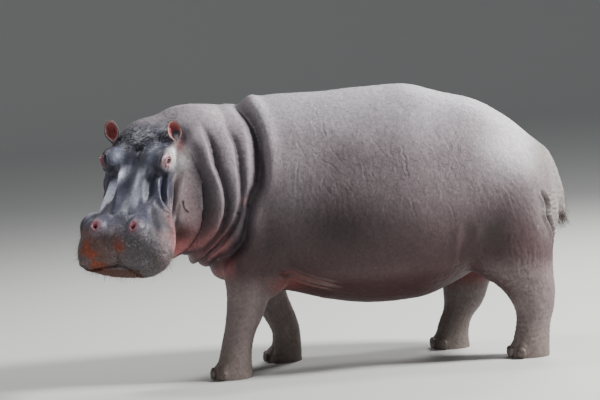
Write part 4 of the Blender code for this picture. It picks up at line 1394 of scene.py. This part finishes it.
def by_head(places, head):
    """The faces of the head."""
    return (head[:, 0] > -0.30) & (places[:, 0] < -0.98) & (places[:, 2] > 0.5)


def make_skin():
    skin = base_skin()
    mesh = skin.data
    refine(mesh, by_head)
    refine(mesh, by_openings)
    refine(mesh, lambda places, head: from_eyes(head) < 0.050)
    points = read(mesh.vertices, "co", 3)
    pairs = read(mesh.edges, "vertices", 2, np.int32)
    put_back(mesh, relax(points, pairs, (points[:, 2] > 0.02) * 0.5, 2))
    clay = Clay(mesh)
    plain_normals = relax(clay.normals, pairs, np.full(len(clay.points), 0.8), 12)
    sculpt_neck(clay, pairs)
    for sculpt in (sculpt_head, sculpt_eyes, sculpt_nostrils, sculpt_mouth, sculpt_toes, body_strokes):
        sculpt(clay)
    clay.spare_soles()
    clay.apply()
    grain(clay)
    colours, gloss = paint(clay)
    atlas = unwrap_skin(mesh, plain_normals)
    attribute(mesh, "hide_colour", colours)
    attribute(mesh, "hide_gloss", gloss)
    level_soles(mesh)
    return skin, clay, atlas


EAR_CORNER = (4.86, 4.90)           # of the unwrap, in metres: the ears' outsides
EAR_STEP = (0.10, 0.16)             # to the insides, and to the next ear


def add_ears_to(skin, atlas):
    """Join the ears to the skin, with their own corner of the unwrap."""
    pieces = []
    facts = []
    for order, name in enumerate(EARS):
        points, faces, depth, rim, (centre, axes) = ear_parts(name)
        ear = mesh_object("ear", points, faces)
        colours = np.tile((0.125, 0.105, 0.118), (len(points), 1))
        colours = mix(colours, (0.360, 0.080, 0.080), fade(depth, 0.02, 0.50))
        colours = mix(colours, (0.200, 0.026, 0.032), fade(depth, 0.60, 0.95) * 0.9)
        colours = mix(colours, (0.560, 0.330, 0.310), rim * 0.80)
        colours *= (1 + 0.20 * noise(points, 70, 80) + 0.12 * noise(points, 160, 81))[:, None]
        attribute(ear.data, "hide_colour", np.clip(colours, 0.01, 0.9))
        attribute(ear.data, "hide_gloss", np.full(len(points), 0.50))
        local = (points - centre) @ axes
        front = np.repeat([np.mean([depth[v] + rim[v] for v in face]) > 0.3 for face in faces],
                          [len(face) for face in faces])
        spot = local[read(ear.data.loops, "vertex_index", kind=np.int32)][:, [1, 2]]
        spot += np.array(EAR_CORNER) - (0, EAR_STEP[1] * order)
        spot[:, 0] -= EAR_STEP[0] * front
        write_uv(ear.data, spot / atlas.side)
        pieces.append(ear)
        facts.append((points, depth, rim, centre, axes))
    bpy.context.view_layer.update()
    with bpy.context.temp_override(active_object=skin, selected_editable_objects=[skin, *pieces]):
        bpy.ops.object.join()
    return facts


def make_eyes(material):
    points, faces = grid_ball(48, 64)
    gaze, slit, across = points.T
    angle = np.degrees(np.arccos(np.clip(gaze, -1, 1)))
    colours = np.tile((0.040, 0.018, 0.015), (len(points), 1))
    colours = mix(colours, (0.026, 0.011, 0.005), 1 - fade(angle, 34, 40))
    colours = mix(colours, (0.008, 0.005, 0.004), blob((angle, 37, 3.5)) * 0.9)
    pupil = (slit / 0.34) ** 2 + (across / 0.16) ** 2
    colours = mix(colours, (0.003, 0.002, 0.002), (1 - fade(pupil, 0.8, 1.2)) * (gaze > 0))
    local = points * (EYE_RADIUS * (1 + 0.035 * (1 - fade(angle, 20, 42))))[:, None]
    made = []
    for name, way in SIDES:
        axes = mirrored(eye_frame(way), way)
        eye = mesh_object("eyeball_" + name, from_head(np.array(EYES[name]) + local @ axes.T), faces)
        attribute(eye.data, "eye_colour", colours)
        eye.data.materials.append(material)
        made.append((eye, ["eye_" + name]))
    return made


def make_nails(material):
    ball, faces = grid_ball(20, 28)
    x, y, z = ball.T
    squared = np.stack((np.sign(x) * np.abs(x) ** 0.75, np.sign(y) * np.abs(y) ** 0.80 * (1 - 0.10 * z),
                        np.sign(z) * np.abs(z) ** 0.85), 1)
    plain = squared * NAIL_RADII * 0.96
    plain[:, 0] += 0.003 * np.where(z < 0, z ** 2, -z ** 2)
    parts = []
    nodes = []
    for name, rows in LEG_ROWS.items():
        for number, (centre, ahead) in enumerate(toe_places(rows), 1):
            shape = plain + 0.0006 * noise(plain + number * 0.3, 130, 90)[:, None] * ball
            turn = np.array(Matrix.Rotation(math.atan2(ahead.y, ahead.x), 3, "Z"))
            place = np.array(centre + ahead * NAIL_AHEAD)
            place[2] = NAIL_HEIGHT
            parts.append((place + shape @ turn.T, faces))
            nodes.append(f"nail_{name}_{number}")
    nails = mesh_object("toe_nails", *joined(parts))
    nails.data.materials.append(material)
    return nails, nodes


# ---------------------------------------------------------------- hair
def strand(root, way, length, width, bend, sides=3, steps=4):
    """Points and faces of one tapered hair."""
    way = way / np.linalg.norm(way)
    across = np.cross(way, (0.3, 0.9, 0.2))
    across /= np.linalg.norm(across)
    other = np.cross(way, across)
    share = np.linspace(0, 1, steps + 1)[:, None, None]
    turn = (np.arange(sides) * 2 * math.pi / sides)[None, :, None]
    radius = width / 2 * (1 - 0.85 * share)
    spine = root + way * length * share + np.asarray(bend) * length * share ** 2
    points = spine + radius * (np.cos(turn) * across + np.sin(turn) * other)
    faces = []
    for row in range(steps):
        for k in range(sides):
            after = (k + 1) % sides
            a, b = row * sides, (row + 1) * sides
            faces.append((a + k, a + after, b + after, b + k))
    faces.append(tuple(range(sides))[::-1])
    faces.append(tuple(steps * sides + k for k in range(sides)))
    return points.reshape(-1, 3), faces


def hair_piece(name, strands, roots_uv, material):
    """One mesh of many hairs; on the unwrap each is a small patch at its root."""
    hair = mesh_object(name, *joined(strands))
    which, level = np.divmod(read(hair.data.loops, "vertex_index", kind=np.int32), len(strands[0][0]))
    rows = len(strands[0][0]) / 3 - 1
    patch = np.stack((level % 3 / 2 - 0.5, level // 3 / rows - 0.5), 1) * 0.003
    write_uv(hair.data, np.asarray(roots_uv)[which] + patch)
    hair.data.materials.append(material)
    return hair


WHISKERS, BRISTLES, EAR_HAIRS = 1100, 170, 150  # how many hairs; the last for each ear


def hair_on_skin(name, clay, atlas, material, rng, count, weights, grow):
    """Hairs at random places on the skin, more where the weights are high; grow gives each its shape."""
    share = np.clip(weights, 0, None)
    chosen = rng.choice(len(share), count, replace=False, p=share / share.sum())
    points, normals = clay.points[chosen], clay.normals[chosen]
    chart = charts_of(normals, regions_of(points))
    strands = [strand(root - out * 0.002, *grow(out)) for root, out in zip(points, normals)]
    return hair_piece(name, strands, atlas.uv(chart, on_chart(points, chart)), material)


def make_whiskers(clay, atlas, material):
    rng = np.random.default_rng(17)
    forward, side, up = clay.head.T
    front = fade(forward, 0.40, 0.47) * fade(-up, 0.10, 0.20)
    rim = blob((up, -0.27, 0.06)) * fade(forward, 0.36, 0.44)
    flank = fade(forward, 0.30, 0.38) * fade(np.abs(side), 0.20, 0.24) * fade(-up, 0.08, 0.16)

    def grow(out):
        way = out * 0.8 + np.array((0, 0, -0.45)) + rng.normal(0, 0.16, 3)
        length = rng.choice((0.010, 0.014, 0.028)) * rng.uniform(0.8, 1.3)
        return way, length, 0.0013, np.array((0, 0, -0.35)) + rng.normal(0, 0.10, 3)

    weights = (front * 0.9 + rim * 0.4 + flank * 0.6) * (clay.points[:, 2] > 0.6)
    return hair_on_skin("whiskers", clay, atlas, material, rng, WHISKERS, weights, grow)


def make_tail_hair(clay, atlas, material):
    rng = np.random.default_rng(23)
    x, _, z = clay.points.T
    edges = fade(x, 0.885, 0.915) * fade(-z, -0.86, -0.70) * fade(z, 0.66, 0.69)

    def grow(out):
        way = out * 0.35 + np.array((0.10, 0, -1.0)) + rng.normal(0, 0.12, 3)
        bend = np.array((0.05, 0, -0.10)) + rng.normal(0, 0.08, 3)
        return way, rng.uniform(0.035, 0.075), 0.0022, bend

    weights = edges * (1 + 3 * fade(-z, -0.76, -0.68))
    return hair_on_skin("tail_bristles", clay, atlas, material, rng, BRISTLES, weights, grow)


def make_ear_hair(facts, atlas, material):
    rng = np.random.default_rng(29)
    strands, uv = [], []
    for order, (points, depth, rim, centre, axes) in enumerate(facts):
        local = (points - centre) @ axes
        share = rim * (local[:, 2] > -0.03) + 0.15 * fade(depth, 0.1, 0.4)
        for index in rng.choice(len(points), EAR_HAIRS, replace=False, p=share / share.sum()):
            out = (points[index] - centre) / np.linalg.norm(points[index] - centre)
            inward = -0.35 * out + axes[:, 0] * 0.5 if depth[index] > 0.2 else out
            way = inward + rng.normal(0, 0.25, 3)
            length = rng.uniform(0.006, 0.014)
            strands.append(strand(points[index] - out * 0.001, way, length, 0.0009, rng.normal(0, 0.2, 3)))
            corner = np.array(EAR_CORNER) - (EAR_STEP[0], EAR_STEP[1] * order)
            uv.append((local[index, [1, 2]] + corner) / atlas.side)
    return hair_piece("ear_hair", strands, uv, material)


# ---------------------------------------------------------------- stage, light and camera
CAMERA_TARGET = Vector((-0.470, 0.0, 0.896))
CAMERA_ELEVATION = math.radians(5.0)
CAMERA_DISTANCE = 17.0
CAMERA_ROLL = math.radians(-4.4)
FRAME_WIDTH = 3.226                 # metres across the frame at the target


def make_camera(home):
    camera = bpy.data.cameras.new("camera")
    obj = link("camera", camera)
    back = Vector((0.0, -math.cos(CAMERA_ELEVATION), math.sin(CAMERA_ELEVATION)))
    turn = (-back).to_track_quat("-Z", "Y").to_matrix() @ Matrix.Rotation(CAMERA_ROLL, 3, "Z")
    obj.matrix_world = Matrix.Translation(CAMERA_TARGET + home + back * CAMERA_DISTANCE) @ turn.to_4x4()
    camera.sensor_width = 36.0
    camera.lens = 36.0 * CAMERA_DISTANCE / FRAME_WIDTH
    camera.clip_end = 200.0
    bpy.context.scene.camera = obj


def make_light(name, place, target, power, size):
    light = bpy.data.lights.new(name, "AREA")
    light.energy = power
    light.size = size
    obj = link(name, light)
    way = Vector(place) - Vector(target)
    obj.matrix_world = Matrix.Translation(place) @ way.to_track_quat("Z", "Y").to_matrix().to_4x4()


STAGE_REACH = 19.0                  # of the flat floor
STAGE_BEND = 11.0                   # radius of its rise
STAGE_SIDES = 96


def make_stage():
    """A pale floor that rises into a low backdrop all round."""
    bm = bmesh.new()
    profile = [(0.6 * STAGE_REACH, 0.0), (0.8 * STAGE_REACH, 0.0), (STAGE_REACH, 0.0)]
    profile += [(STAGE_REACH + STAGE_BEND * math.sin(a), STAGE_BEND * (1 - math.cos(a)))
                for a in np.linspace(0.05, 1.3, 26)]
    rows = []
    for reach, z in profile:
        turns = np.arange(STAGE_SIDES) * 2 * math.pi / STAGE_SIDES
        rows.append([bm.verts.new((reach * math.cos(a), reach * math.sin(a), z)) for a in turns])
    bm.faces.new(rows[0])
    for near, far in zip(rows, rows[1:]):
        for k in range(STAGE_SIDES):
            after = (k + 1) % STAGE_SIDES
            face = bm.faces.new((near[k], near[after], far[after], far[k]))
            face.smooth = True
    stage = new_object("stage", bm)
    pale = Material("stage_pale", Base_Color=(0.54, 0.54, 0.52, 1), Roughness=0.9)
    stage.data.materials.append(pale.made)
    world = bpy.data.worlds.new("studio")
    world.use_nodes = True
    world.node_tree.nodes["Background"].inputs["Color"].default_value = (0.86, 0.90, 0.96, 1)
    world.node_tree.nodes["Background"].inputs["Strength"].default_value = 0.20
    bpy.context.scene.world = world


def main():
    low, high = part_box("eye_left")
    home = (low + high) / 2 - on_head(*EYES["left"])
    home.z = 0.0

    skin, clay, atlas = make_skin()
    ear_facts = add_ears_to(skin, atlas)
    skin.data.materials.append(hide_material())
    skin.data.shade_smooth()
    dark_hair = hair_material("bristle_dark", (0.030, 0.020, 0.018), (0.110, 0.080, 0.065))
    pale_hair = hair_material("whisker_pale", (0.090, 0.065, 0.048), (0.330, 0.260, 0.200))
    nails, nail_nodes = make_nails(horn_material())
    flesh_nodes = ["head", "neck", "trunk", "tail", "ear_left", "ear_right"]
    flesh_nodes += ["leg_" + name for name in LEG_ROWS]
    pieces = [
        (skin, "hide", flesh_nodes),
        (nails, "nail_horn", nail_nodes),
        (make_whiskers(clay, atlas, pale_hair), "hide", []),
        (make_tail_hair(clay, atlas, dark_hair), "hide", []),
        (make_ear_hair(ear_facts, atlas, pale_hair), "ear_flesh", []),
    ]
    pieces += [(eye, "eye_wet", nodes) for eye, nodes in make_eyes(eye_material())]
    for piece, slot, nodes in pieces:
        piece.data.transform(Matrix.Translation(home))
        piece.data.shade_smooth()
        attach(piece, "root")
        if nodes:
            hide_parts(*nodes)

    make_stage()
    make_camera(home)
    middle = home + Vector((-0.35, 0, 0.8))
    make_light("key", middle + Vector((6.0, -1.7, 4.7)), middle, 1500, 1.5)
    make_light("sky", middle + Vector((-3.6, 1.2, 6.4)), middle + Vector((-0.7, -0.3, 0.3)), 260, 1.3)
    make_light("rim", middle + Vector((2.5, 5.0, 4.0)), middle, 380, 2.5)
    make_light("fill", middle + Vector((-3.5, -7.5, 2.5)), middle, 70, 4.5)


main()
